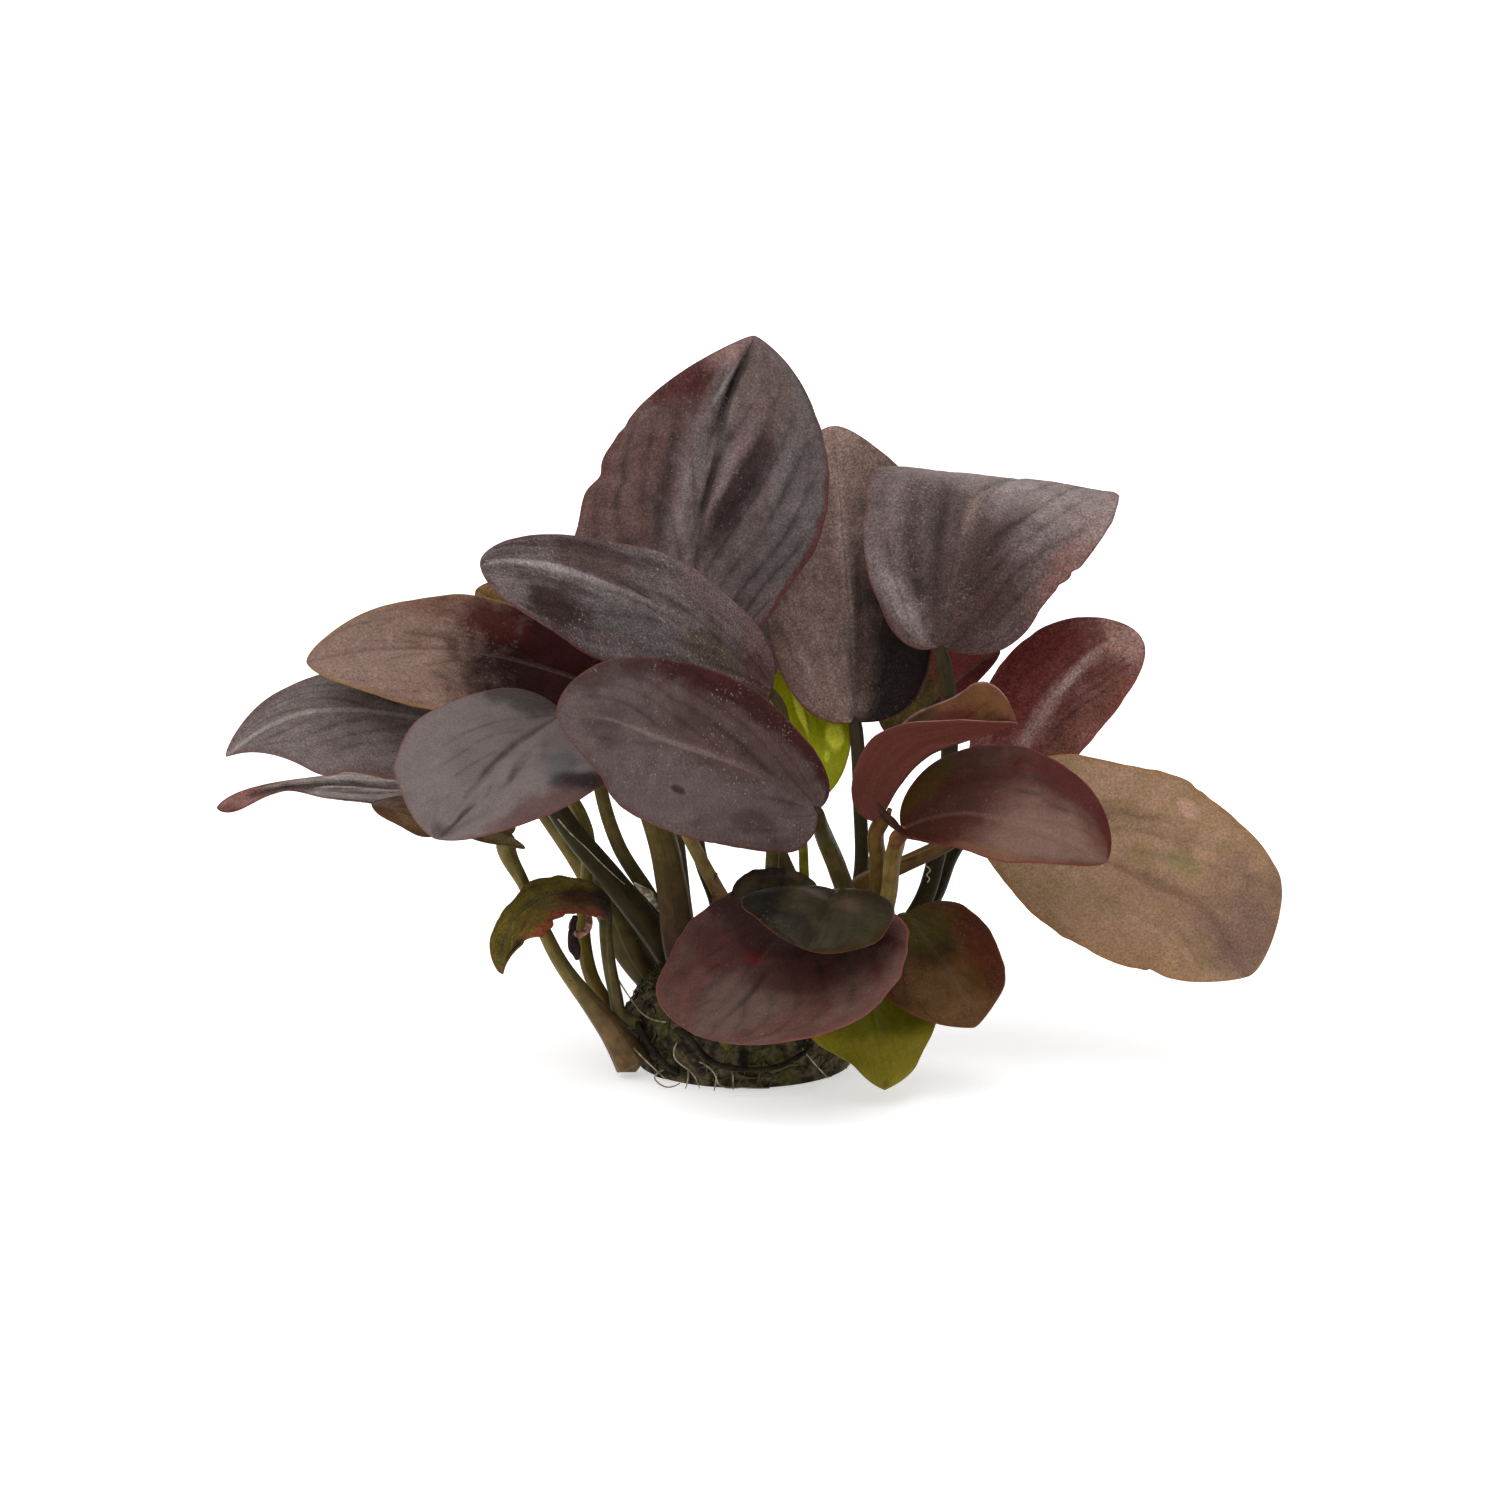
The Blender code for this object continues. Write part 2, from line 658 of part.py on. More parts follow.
def main():
    for obj in list(bpy.data.objects):
        bpy.data.objects.remove(obj)
    scene = bpy.context.scene.collection
    scene.children.link(bpy.data.collections.new("lagenandra"))
    scene.children.link(bpy.data.collections.new("cutters"))
    bpy.data.collections["lagenandra"].objects.link(bpy.data.objects.new("clump", None))

    plug_space = link_cutter(make_plug("plug_space", GAP))
    stem_space = link_cutter(make_tube("stem_space", STEM_PATH, STEM_RADII, 9, 12, GAP))

    plug = link(make_plug("plug"), SOIL, 0.95)
    cut(plug, [stem_space])
    link(make_tube("creeping_stem", STEM_PATH, STEM_RADII, 9, 12), STEM_BROWN, 0.8)
    for name, path in ROOTS.items():
        root = link(make_tube("root_" + name, path, ROOT_RADII[name], 9, 6), ROOT_TAN, 0.7)
        cut(root, [plug_space])
    sheath = link(make_tube("dry_sheath", SHEATH_PATH, SHEATH_RADII, 4, 6), DRY_BROWN, 0.9)
    cut(sheath, [stem_space, plug_space])
    for leaf in LEAVES:
        link(make_blade(leaf), DARK_LEAF)
        stalk = link(make_tube("stalk_" + leaf.name, leaf.stalk, leaf.stalk_radii), STALK_OLIVE)
        cut(stalk, [stem_space, plug_space])


main()
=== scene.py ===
"""Lagenandra meeboldii, the red form: the looks of a clump of leaves on a plug of growing medium.

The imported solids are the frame. Every piece here stands where its solid does, in the same frame:
+X right and +Y back as the plant is looked at from its front, +Z up, with the origin at the centre
of the face that the plug rests on. Sizes are in millimetres and degrees; Blender gets metres.
"""

import logging
import math
from collections.abc import Sequence
from dataclasses import dataclass
from enum import Enum

import bpy
import numpy as np
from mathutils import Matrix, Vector


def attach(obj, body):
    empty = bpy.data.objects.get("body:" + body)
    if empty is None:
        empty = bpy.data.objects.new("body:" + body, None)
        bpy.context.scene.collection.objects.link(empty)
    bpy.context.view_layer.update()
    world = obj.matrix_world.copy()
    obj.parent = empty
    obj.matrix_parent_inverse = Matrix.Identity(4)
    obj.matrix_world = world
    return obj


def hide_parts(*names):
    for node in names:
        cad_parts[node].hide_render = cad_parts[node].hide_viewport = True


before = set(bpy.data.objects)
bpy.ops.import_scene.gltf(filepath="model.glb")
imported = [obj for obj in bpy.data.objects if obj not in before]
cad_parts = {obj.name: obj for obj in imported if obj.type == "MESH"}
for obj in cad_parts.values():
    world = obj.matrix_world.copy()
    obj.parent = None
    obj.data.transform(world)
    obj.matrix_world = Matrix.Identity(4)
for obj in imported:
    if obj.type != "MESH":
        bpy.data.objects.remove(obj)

MM = 0.001

Colour = tuple[float, float, float]
Point = tuple[float, float, float]

log = logging.getLogger("lagenandra")


class Slot(Enum):
    """The material slots."""

    LEAF_DARK = "leaf_dark"
    LEAF_GREEN = "leaf_green"
    STALK = "stalk"
    STEM = "creeping_stem"
    ROOT = "root"
    DRY = "dry_sheath"
    MEDIUM = "growing_medium"


@dataclass(frozen=True)
class Leaf:
    """One leaf. left and right are the viewer's, facing the upper side with the tip up."""

    name: str
    stalk: tuple[Point, ...]  # points from the foot in the plug up to the neck below the blade
    stalk_radii: tuple[float, ...]  # from foot to neck
    midrib: tuple[Point, ...]  # points from the blade's base to its tip
    face: tuple[Point, ...]  # where the upper side faces, in even steps from base to tip
    left: tuple[float, ...]  # half widths in even steps from base to tip, before the ends are rounded
    right: tuple[float, ...]
    fold: tuple[float, float] = (12, 12)  # rise of the left and right half from the midrib
    curl: tuple[float, float] = (-12, -12)  # further turn of each half between midrib and margin
    ends: tuple[float, float] = (0.45, 0.6)  # sharpness of base and tip, 0.5 for an ellipse's end
    lobe: tuple[float, float] = (0.05, 0.05)  # reach of each basal lobe, as a share of the length
    wave: float = 0.5  # height of the ripples in the margin
    ripples: float = 2.5  # ripples along each margin

    @property
    def length(self) -> float:
        """How far the blade's tip is from its base."""
        return np.linalg.norm(np.array(self.midrib[-1], float) - self.midrib[0])


LEAVES = (
    Leaf(
        "tall", stalk=((-3, 12, 14), (-5.3, 13, 27), (-7.9, 13, 34), (-9, 12, 46), (-9.8, 8.4, 73)),
        stalk_radii=(1.5, 1.2, 1.1),
        midrib=((-9.9, 8, 74.4), (-8, 13, 94), (-4, 19, 113), (1.9, 26, 129.2)),
        face=((0.1, -1, 0.3), (0, -1, 0.3)), left=(22.9, 23.9, 22.3, 20.2, 17.5, 11.1),
        right=(17, 18, 21.3, 23.8, 25.5, 30.6), fold=(15, 15), curl=(-20, -20), ends=(0.45, 0.7),
    ),
    Leaf(
        "centre",
        stalk=((13, 8, 14), (18.3, 9.8, 22), (20.8, 10.2, 29.5), (21.1, 12, 46), (20.5, 17.6, 57.6)),
        stalk_radii=(1.5, 1.3, 1.3),
        midrib=((20.3, 18, 59), (19.4, 26, 76.5), (18.1, 36, 93.2), (16.5, 46, 109.7)),
        face=((0, -1, 0.3), (0, -1, 0.3)), left=(16,), right=(20, 16.8, 17, 18, 14), fold=(15, 20),
    ),
    Leaf(
        "arched",
        stalk=(
            (17, 7.8, 13.5), (27.2, 7, 20), (32.5, 6.5, 27.8), (35, 6.8, 36.3), (36, 7.2, 43),
            (37, 6.5, 52), (36.1, 3.6, 72),
        ),
        stalk_radii=(2, 1.7, 1.6, 1.4),
        midrib=((35.2, 4, 75.7), (37.4, 6, 87.4), (41.7, 12, 97.8), (49.5, 30, 101.7), (59.4, 50, 91.2)),
        face=((0.1, -1, 0.2), (0.15, -0.8, 0.6), (0.15, 0.2, 1), (0.2, 0.6, 0.8)), left=(15, 21, 22, 14),
        right=(22.8, 19.5, 21, 23, 24.4, 28.1), fold=(8, 6), curl=(-35, -20), lobe=(0.12, 0.12),
    ),
    Leaf(
        "long", stalk=((4, 4, 14), (4.8, 4, 31), (5, 2, 37), (5.5, -2, 49), (5.4, -5.6, 68.4)),
        stalk_radii=(1.4, 1.2, 1.0),
        midrib=((4.9, -6, 69.8), (-4.3, -14, 79), (-18, -22, 88), (-32, -28, 94), (-45.2, -34, 96.5)),
        face=((0.4, -0.7, 0.7), (0.2, -0.6, 0.8), (0, -0.5, 0.85)), left=(14, 14, 16),
        right=(15, 13.9, 13.5, 12.3, 13.3), fold=(-5, 10), curl=(-20, -10), ends=(0.45, 0.5),
    ),
    Leaf(
        "broad",
        stalk=(
            (13.5, -0.4, 13.5), (18, -1, 21), (18.8, -2, 29), (16.8, -5, 36.6), (14.6, -10, 43),
            (13, -20, 49.5),
        ),
        stalk_radii=(2, 1.8, 1.7, 1.4),
        midrib=((13, -22, 51.5), (-0.7, -33, 62), (-14.4, -43, 69), (-24.4, -50, 74), (-31.6, -54, 75)),
        face=((0.05, -0.88, 0.45), (0.05, -0.88, 0.45), (-0.1, -0.85, 0.5)),
        left=(13.8, 14, 15.8, 17, 20.1), right=(10, 13, 15.5, 16.5), fold=(0, 12), curl=(-10, -15),
        lobe=(0.14, 0.1),
    ),
    Leaf(
        "drooping",
        stalk=(
            (-8.5, -4, 13), (-11.2, -3, 21), (-13, -4, 33), (-14.7, -8, 43), (-19, -13, 55),
            (-30.2, -17.8, 67),
        ),
        stalk_radii=(3, 2.8, 2.45, 1.9),
        midrib=((-31.5, -20, 68.3), (-40.5, -32, 63.9), (-47.6, -44, 58.2), (-52.6, -49.6, 52.6)),
        face=((-0.2, -0.8, 0.6), (-0.4, -0.6, 0.7)), left=(26.8, 25.4, 23), right=(17, 20, 19),
        fold=(12, 6), lobe=(0.3, 0.1),
    ),
    Leaf(
        "bronze",
        stalk=(
            (-10.5, 8.5, 14), (-14, 7.5, 22), (-17.5, 7, 29), (-23, 5, 39), (-26.8, 4.5, 58),
            (-25.8, 4.2, 66.6),
        ),
        stalk_radii=(1.6, 1.3, 1.2),
        midrib=((-26, 4, 67.9), (-44.3, 2, 74.3), (-62, -2, 76.4), (-78, -6, 74.7)),
        face=((0, -0.7, 0.7), (-0.2, -0.7, 0.7)), left=(13, 15.4, 15), right=(11.7, 10.6, 11.7, 11.1, 9.5),
    ),
    Leaf(
        "grey",
        stalk=(
            (-9, 3.5, 13), (-12, 3.5, 16), (-16.3, 2.6, 22.5), (-23, 1.2, 32), (-29.3, 0.2, 40),
            (-46.3, -2, 60),
        ),
        stalk_radii=(2.6, 2.4, 2, 1.4),
        midrib=((-47.5, -2, 60.8), (-61.7, -3, 64.5), (-79, -6, 65.4), (-92.3, -10, 58.5)),
        face=((0, -0.6, 0.8), (-0.3, -0.6, 0.8)), left=(11, 13.4, 14.6, 17.6, 5.2),
        right=(11.2, 11.3, 10.2, 9.3, 9.5), fold=(0, 10), ends=(0.45, 0.75),
    ),
    Leaf(
        "twisted",
        stalk=(
            (-16.5, -3, 8), (-22.8, -4, 9.5), (-26.8, -3.5, 14.5), (-29.2, 1, 22.4), (-28.5, 5.3, 33),
            (-28.9, 5.6, 42), (-32, 6, 47.6), (-43, 6.8, 48.5),
        ),
        stalk_radii=(1.35, 1.35, 1.2),
        midrib=((-44.5, 7, 48.6), (-63, 8, 48.6), (-75.7, 9, 49.1), (-84.5, 10, 48.2), (-96.3, 10, 44.6)),
        face=((0, -0.3, 1), (0, -0.3, 1), (0, -0.9, 0.4)), left=(9.5, 8.6, 7.9, 0.7, 7.4),
        right=(8, 7, 5.2, 2, 4),
    ),
    Leaf(
        "level",
        stalk=(
            (-20.3, -12, 2.3), (-23.3, -11, 7.2), (-26.9, -10, 12), (-33.5, -8.5, 21), (-37.4, -7.2, 29),
            (-39.6, -6.4, 34.1), (-42.8, -6.2, 41.2),
        ),
        stalk_radii=(3.1, 2.1, 1.5, 1.3, 1.1, 1.8),
        midrib=((-42, -7, 43.4), (-52.5, -9, 46.8), (-66.4, -12, 50.2)),
        face=((0, -0.35, 1), (0, -0.35, 1)), left=(8, 5.6, 9.4, 9.2), right=(8, 6, 3), lobe=(0.4, 0.2),
        ends=(0.45, 0.45),
    ),
    Leaf(
        "chewed",
        stalk=(
            (-15.5, -8, 9.5), (-22.2, -8.6, 10.4), (-23.2, -8.6, 14.5), (-24.3, -8, 20),
            (-24.9, -6.4, 28.4),
        ),
        stalk_radii=(1.25, 1.25, 1.2),
        midrib=(
            (-24.2, -6, 29.8), (-29.5, -9, 33), (-36.7, -14, 32.8), (-42, -18, 28), (-42.7, -22.5, 21.8),
        ),
        face=((0, -0.5, 0.9), (-0.5, -0.5, 0.9)), left=(9, 9.1, 8.1, 10, 0.8),
        right=(5.6, 5.5, 4.8, 4.5, 4.4),
    ),
    Leaf(
        "low", stalk=((4, -5, 14), (6.5, -10, 21), (7.6, -17, 26), (7.4, -23, 29.5)),
        stalk_radii=(1.6, 1.4, 1.2), midrib=((7.3, -24.6, 31), (-0.5, -36, 23.6), (-8.5, -46, 17)),
        face=((0, -0.6, 0.8), (-0.1, -0.7, 0.7)), left=(29, 27.5, 20), right=(16, 15.5, 13.8, 15.8),
        fold=(24, 8), lobe=(0.7, 0.5), ends=(0.35, 0.36), wave=0.15,
    ),
    Leaf(
        "saddle",
        stalk=((9.5, -4, 14), (12.5, -8.5, 25), (15, -15, 33.5), (16, -23, 36.6), (16.2, -28.5, 37.8)),
        stalk_radii=(1.3, 1.1, 1.0), midrib=((16, -30, 38.8), (14, -40, 37.9), (10.7, -50, 33.2)),
        face=((0, -0.1, 1), (0, -0.5, 0.9), (0, -0.9, 0.5)), left=(12.5,), right=(15.6,), fold=(25, 25),
        curl=(-60, -60), lobe=(0.2, 0.2),
    ),
    Leaf(
        "round", stalk=((14, -13, 10.5), (21, -13.4, 14.5), (26.6, -10, 21), (28.4, -8.2, 28.4)),
        stalk_radii=(1.4, 1.2, 1.1), midrib=((28.8, -10, 29.6), (35.7, -20, 21.8), (40.3, -30, 14)),
        face=((0.2, -0.8, 0.6), (0.2, -0.8, 0.6)), left=(12.2, 11.8, 10.7, 10.9, 6.5), right=(13, 13, 18),
    ),
    Leaf(
        "lime", stalk=((9, -14.5, 11.5), (15, -14, 17), (20, -13.5, 19.6), (22, -15.3, 19.2)),
        stalk_radii=(1.4, 1.1, 1.0), midrib=((22.4, -17, 17.8), (23.6, -26, 10.7), (24.7, -33, 3.5)),
        face=((0, -0.8, 0.6), (0, -0.8, 0.6)), left=(11, 11.8, 10.9, 11.5, 18.8),
        right=(14.2, 13.2, 12.5, 8.7, 10.8), ends=(0.5, 0.9),
    ),
    Leaf(
        "olive",
        stalk=(
            (17, 3.2, 13.5), (17.6, 3.6, 26), (21, 3.6, 31.8), (28, 3.6, 35.2), (35, 3.2, 38.7),
            (42, 4.8, 42.3),
        ),
        stalk_radii=(1.8, 1.6, 1.4),
        midrib=((43.7, 6, 43.7), (57, 3, 40), (71, -2, 34.5), (84.3, -8, 27.6), (90, -13, 18.8)),
        face=((0.3, -0.9, 0.5), (0.3, -0.9, 0.5)), left=(19.5, 19.9, 19.5, 20.5, 20.4, 19.6, 10.7),
        right=(13.5, 15.4, 17.6, 18.4, 18.8, 22.9, 31.6), ends=(0.45, 0.5),
    ),
    Leaf(
        "wine",
        stalk=(
            (14.5, -8, 13), (22, -9.3, 21), (25.8, -9, 33), (26.4, -11, 40), (27, -13, 43),
            (27.3, -15, 44.8),
        ),
        stalk_radii=(1.7, 1.55, 1.5),
        midrib=((28, -16, 46.4), (38, -22, 50.6), (50, -29, 49.7), (63, -35, 45.2)),
        face=((0.1, -0.7, 0.7), (0.3, -0.7, 0.6)), left=(11.6, 14.9, 15.5, 16, 15.5), right=(4.2, 9.6, 8.4),
    ),
    Leaf(
        "rolled", stalk=((18, -4, 13), (21.4, -5, 22), (23.8, -5, 33), (23.8, -7, 39), (23.8, -9.6, 45.5)),
        stalk_radii=(1.6, 1.6, 1.6),
        midrib=(
            (24.2, -10, 46.6), (26.6, -12, 53.4), (32.3, -15, 60.5), (42.4, -18, 64.3), (48, -20, 66.5),
        ),
        face=((-0.8, 0.1, 0.7), (-0.3, -0.5, 0.9)), left=(6, 6, 8, 13.5), right=(9.6, 10.5, 9.1, 6.2, 3),
        fold=(60, 75), ends=(0.45, 0.35),
    ),
    Leaf(
        "ruby",
        stalk=(
            (16, 12, 13), (26.5, 11, 18.5), (34.7, 11, 27.6), (38, 12, 35.5), (41, 12.8, 40),
            (45.2, 13.8, 45),
        ),
        stalk_radii=(1.7, 1.5, 1.2),
        midrib=((45.9, 14, 46.2), (51, 18, 54), (61, 26, 65.3), (73.9, 32, 71.7)),
        face=((-0.1, -1, 0.5), (-0.1, -1, 0.5)), left=(11.5, 11.5, 12.1, 12.4, 10.2),
        right=(11.3, 10.2, 10.4, 10.5, 10.2), ends=(0.45, 0.5),
    ),
    Leaf(
        "speckled", stalk=((12, 13.5, 13.5), (20, 15, 24), (24, 16, 34), (25.3, 18, 45), (27, 21.6, 53.4)),
        stalk_radii=(1.3, 1.1, 1.0), midrib=((27.4, 22, 54.8), (40, 28, 65), (47.5, 33, 69.5)),
        face=((0, -1, 0.2), (0, -1, 0.2)), left=(10,), right=(8, 5.5, 3, 3),
    ),
    Leaf(
        "bright", stalk=((7, 14, 14), (11, 14.5, 25), (10.9, 14.5, 33.5), (10.9, 15.2, 44)),
        stalk_radii=(1.0, 0.85), midrib=((11.5, 16, 45), (12.4, 22, 54.8), (7.5, 28, 68.7)),
        face=((0, -1, 0.3), (0, -1, 0.3)), left=(8,), right=(5.5, 7, 7.3, 7.3),
    ),
    Leaf(
        "tucked",
        stalk=(
            (0, 9.5, 14), (-2.9, 8.5, 25.7), (-5.3, 8.5, 30.4), (-9.8, 8.5, 39), (-15.4, 10, 52),
            (-17, 12.6, 62.6),
        ),
        stalk_radii=(1.5, 1.25, 1.1), midrib=((-17.2, 14, 64), (-33.6, 14, 75), (-48.7, 12, 84.7)),
        face=((0, -1, 0.3), (0, -1, 0.3)), left=(9,), right=(9,),
    ),
    Leaf(
        "rear_left",
        stalk=(
            (-17, 12, 12), (-20.4, 11, 17), (-24.2, 11.3, 25), (-30.3, 12.5, 34), (-37.1, 16, 43),
            (-44, 24.6, 51.6),
        ),
        stalk_radii=(2.9, 3.4, 1.9, 1.5, 1.4), midrib=((-45, 26, 52.5), (-57, 40, 59), (-66, 56, 57)),
        face=((0.2, -0.1, 1), (-0.3, 0.4, 0.9)), left=(13,), right=(13,),
    ),
    Leaf(
        "rear_middle",
        stalk=(
            (-9.5, 15.5, 13), (-11.3, 16, 26), (-11.8, 16.4, 32), (-12.4, 17, 38), (-14, 22, 52),
            (-14, 30.8, 64.8),
        ),
        stalk_radii=(1.4, 1.2, 1.0), midrib=((-14, 32, 66), (-12, 44, 80), (-8, 60, 88)),
        face=((0, -0.2, 1), (0, 0.4, 0.9)), left=(15,), right=(15,),
    ),
    Leaf(
        "rear_right",
        stalk=((9.4, 9.6, 14), (9.8, 10.4, 27.4), (6.7, 12, 35), (2, 17, 45), (-0.5, 28.8, 58.8)),
        stalk_radii=(1.5, 1.4, 1.1), midrib=((0, 30, 60), (8, 46, 70), (16, 64, 72)),
        face=((0, -0.2, 1), (0.2, 0.4, 0.9)), left=(15,), right=(15,),
    ),
)


class Painter:
    """Builds the nodes of one material."""

    def __init__(self, name: str) -> None:
        """Starts a Principled material of that name."""
        self.material = bpy.data.materials.new(name)
        self.material.use_nodes = True
        self.tree = self.material.node_tree
        self.shader = self.tree.nodes["Principled BSDF"]
        self.fix(Metallic=0)

    def node(self, kind: str, inputs: dict, **settings) -> bpy.types.Node:
        """Adds a node.

        Args:
            kind: The node's type.
            inputs: A socket or a value for each input, by name or index.
            settings: The node's own settings.

        Returns:
            The node.
        """
        node = self.tree.nodes.new(kind)
        for key, value in settings.items():
            setattr(node, key, value)
        for key, value in inputs.items():
            if isinstance(value, bpy.types.NodeSocket):
                self.tree.links.new(value, node.inputs[key])
            elif isinstance(value, tuple) and node.inputs[key].type == "RGBA":
                node.inputs[key].default_value = (*value, 1)
            else:
                node.inputs[key].default_value = value
        return node

    def layer(self, name: str) -> bpy.types.NodeSocket:
        """The vector that a mesh layer of that name holds."""
        return self.node("ShaderNodeAttribute", {}, attribute_name=name).outputs["Vector"]

    def split(self, vector: bpy.types.NodeSocket) -> tuple[bpy.types.NodeSocket, ...]:
        """The three values of a vector."""
        return tuple(self.node("ShaderNodeSeparateXYZ", {0: vector}).outputs)

    def vector(self, x: object, y: object, z: object) -> bpy.types.NodeSocket:
        """A vector of three values."""
        return self.node("ShaderNodeCombineXYZ", {0: x, 1: y, 2: z}).outputs[0]

    def math(self, operation: str, a: object, b: object = 0.0) -> bpy.types.NodeSocket:
        """The result of a Math node."""
        return self.node("ShaderNodeMath", {0: a, 1: b}, operation=operation).outputs[0]

    def times(self, a: object, b: object) -> bpy.types.NodeSocket:
        """The product of two values."""
        return self.math("MULTIPLY", a, b)

    def plus(self, a: object, b: object) -> bpy.types.NodeSocket:
        """The sum of two values."""
        return self.math("ADD", a, b)

    def minus(self, a: object, b: object) -> bpy.types.NodeSocket:
        """The first value less the second."""
        return self.math("SUBTRACT", a, b)

    def noise(
        self, size: float, detail: float = 2, rough: float = 0.5, vector: object = None
    ) -> bpy.types.NodeSocket:
        """Noise, 0 to 1.

        Args:
            size: The size of its lumps, in millimetres or else in the vector's own measure.
            detail: How many finer layers it has.
            rough: How strong those are.
            vector: Where it is read, or None for the place on the piece.

        Returns:
            The noise's value.
        """
        if vector is None:
            vector = self.node("ShaderNodeTexCoord", {}).outputs["Object"]
            size = size * MM
        inputs = {"Vector": vector, "Scale": 1 / size, "Detail": detail, "Roughness": rough}
        return self.node("ShaderNodeTexNoise", inputs).outputs["Fac"]

    def span(
        self, value: object, low: float, high: float, start: float, end: float
    ) -> bpy.types.NodeSocket:
        """The value taken smoothly from low to high on to start to end."""
        inputs = {"Value": value, "From Min": low, "From Max": high, "To Min": start, "To Max": end}
        if low > high:
            inputs.update({"From Min": high, "From Max": low, "To Min": end, "To Max": start})
        kind = "ShaderNodeMapRange"
        return self.node(kind, inputs, interpolation_type="SMOOTHSTEP").outputs["Result"]

    def step(self, value: object, low: float, high: float) -> bpy.types.NodeSocket:
        """A smooth step from 0 at low to 1 at high, which may be the lower of the two."""
        return self.span(value, low, high, 0, 1)

    def mix(self, share: object, a: object, b: object) -> bpy.types.NodeSocket:
        """Colour a turned into colour b by a share."""
        node = self.node("ShaderNodeMix", {}, data_type="RGBA")
        for key, value in (("Factor", share), ("A", a), ("B", b)):
            socket = next(s for s in node.inputs if s.name == key and s.enabled)
            if isinstance(value, bpy.types.NodeSocket):
                self.tree.links.new(value, socket)
            else:
                socket.default_value = (*value, 1) if isinstance(value, tuple) else value
        return next(s for s in node.outputs if s.enabled)

    def scale(self, colour: bpy.types.NodeSocket, by: object) -> bpy.types.NodeSocket:
        """The colour made lighter or darker."""
        node = self.node("ShaderNodeVectorMath", {0: colour, "Scale": by}, operation="SCALE")
        return node.outputs["Vector"]

    def vary(
        self, colour: bpy.types.NodeSocket, value: object, half: float, contrast: float
    ) -> bpy.types.NodeSocket:
        """The colour made darker where a value is below 0.5 by half, and lighter where it is above."""
        return self.scale(colour, self.span(value, 0.5 - half, 0.5 + half, 1 - contrast, 1 + contrast))

    def fix(self, **values: object) -> None:
        """Sets the shader's own sockets, each by its name with _ for a space."""
        for name, value in values.items():
            self.shader.inputs[name.replace("_", " ")].default_value = value

    def colour(self, colour: bpy.types.NodeSocket) -> None:
        """Gives the shader its base colour."""
        self.tree.links.new(colour, self.shader.inputs["Base Color"])

    def roughness(self, value: bpy.types.NodeSocket) -> None:
        """Gives the shader its roughness."""
        self.tree.links.new(value, self.shader.inputs["Roughness"])

    def bump(self, height: bpy.types.NodeSocket, depth: float) -> None:
        """Raises the surface's fine grain to a depth in millimetres."""
        node = self.node("ShaderNodeBump", {"Height": height, "Distance": depth * MM})
        self.tree.links.new(node.outputs["Normal"], self.shader.inputs["Normal"])


def unit(vectors: np.ndarray) -> np.ndarray:
    """The vectors at length 1."""
    return vectors / np.maximum(np.linalg.norm(vectors, axis=-1, keepdims=True), 1e-9)


def fade(value: np.ndarray, low: float, high: float) -> np.ndarray:
    """A smooth step from 0 at low to 1 at high, which may be the lower of the two."""
    t = np.clip((value - low) / (high - low), 0, 1)
    return t * t * (3 - 2 * t)


def hermite(
    start: np.ndarray, into: np.ndarray, end: np.ndarray, out: np.ndarray, t: np.ndarray
) -> np.ndarray:
    """The cubic from start to end with the two slopes, at t from 0 to 1."""
    return (
        start * (2 * t**3 - 3 * t**2 + 1)
        + into * (t**3 - 2 * t**2 + t)
        + end * (3 * t**2 - 2 * t**3)
        + out * (t**3 - t**2)
    )


def smooth_path(points: Sequence[Point], shares: np.ndarray) -> np.ndarray:
    """Reads a smooth curve through the points, as the solids do.

    Args:
        points: The points that it goes through.
        shares: Where to read it, 0 to 1 of the way along.

    Returns:
        One point for each share.
    """
    points = np.array(points, float)
    steps = np.diff(points, axis=0)
    if len(steps) == 1:
        return points[0] + shares[:, None] * steps[0]
    spans = np.linalg.norm(steps, axis=1)
    knots = np.concatenate([[0], np.cumsum(spans)])
    ways = steps / spans[:, None]
    weights = (spans[1:] / (spans[:-1] + spans[1:]))[:, None]
    inner = ways[:-1] * weights + ways[1:] * (1 - weights)
    slopes = np.vstack([2 * ways[0] - inner[0], inner, 2 * ways[-1] - inner[-1]])
    along = np.clip(shares, 0, 1) * knots[-1]
    i = np.clip(np.searchsorted(knots, along, side="right") - 1, 0, len(spans) - 1)
    span = spans[i][:, None]
    t = (along - knots[i])[:, None] / span
    return hermite(points[i], slopes[i] * span, points[i + 1], slopes[i + 1] * span, t)


def smooth_values(values: Sequence, shares: np.ndarray) -> np.ndarray:
    """Reads a smooth curve through evenly spaced values, as the solids do.

    Args:
        values: Numbers or points.
        shares: Where to read them, 0 to 1 of the way along.

    Returns:
        One value for each share.
    """
    values = np.array(values, float)
    if len(values) == 1:
        return np.repeat(values, len(shares), axis=0)
    place = np.clip(shares, 0, 1) * (len(values) - 1)
    i = np.minimum(place.astype(int), len(values) - 2)
    t = place - i
    inner = (values[2:] - values[:-2]) * 0.5
    slopes = np.concatenate([values[1:2] - values[:1], inner, values[-1:] - values[-2:-1]])
    if values.ndim > 1:
        t = t[:, None]
    return hermite(values[i], slopes[i], values[i + 1], slopes[i + 1], t)


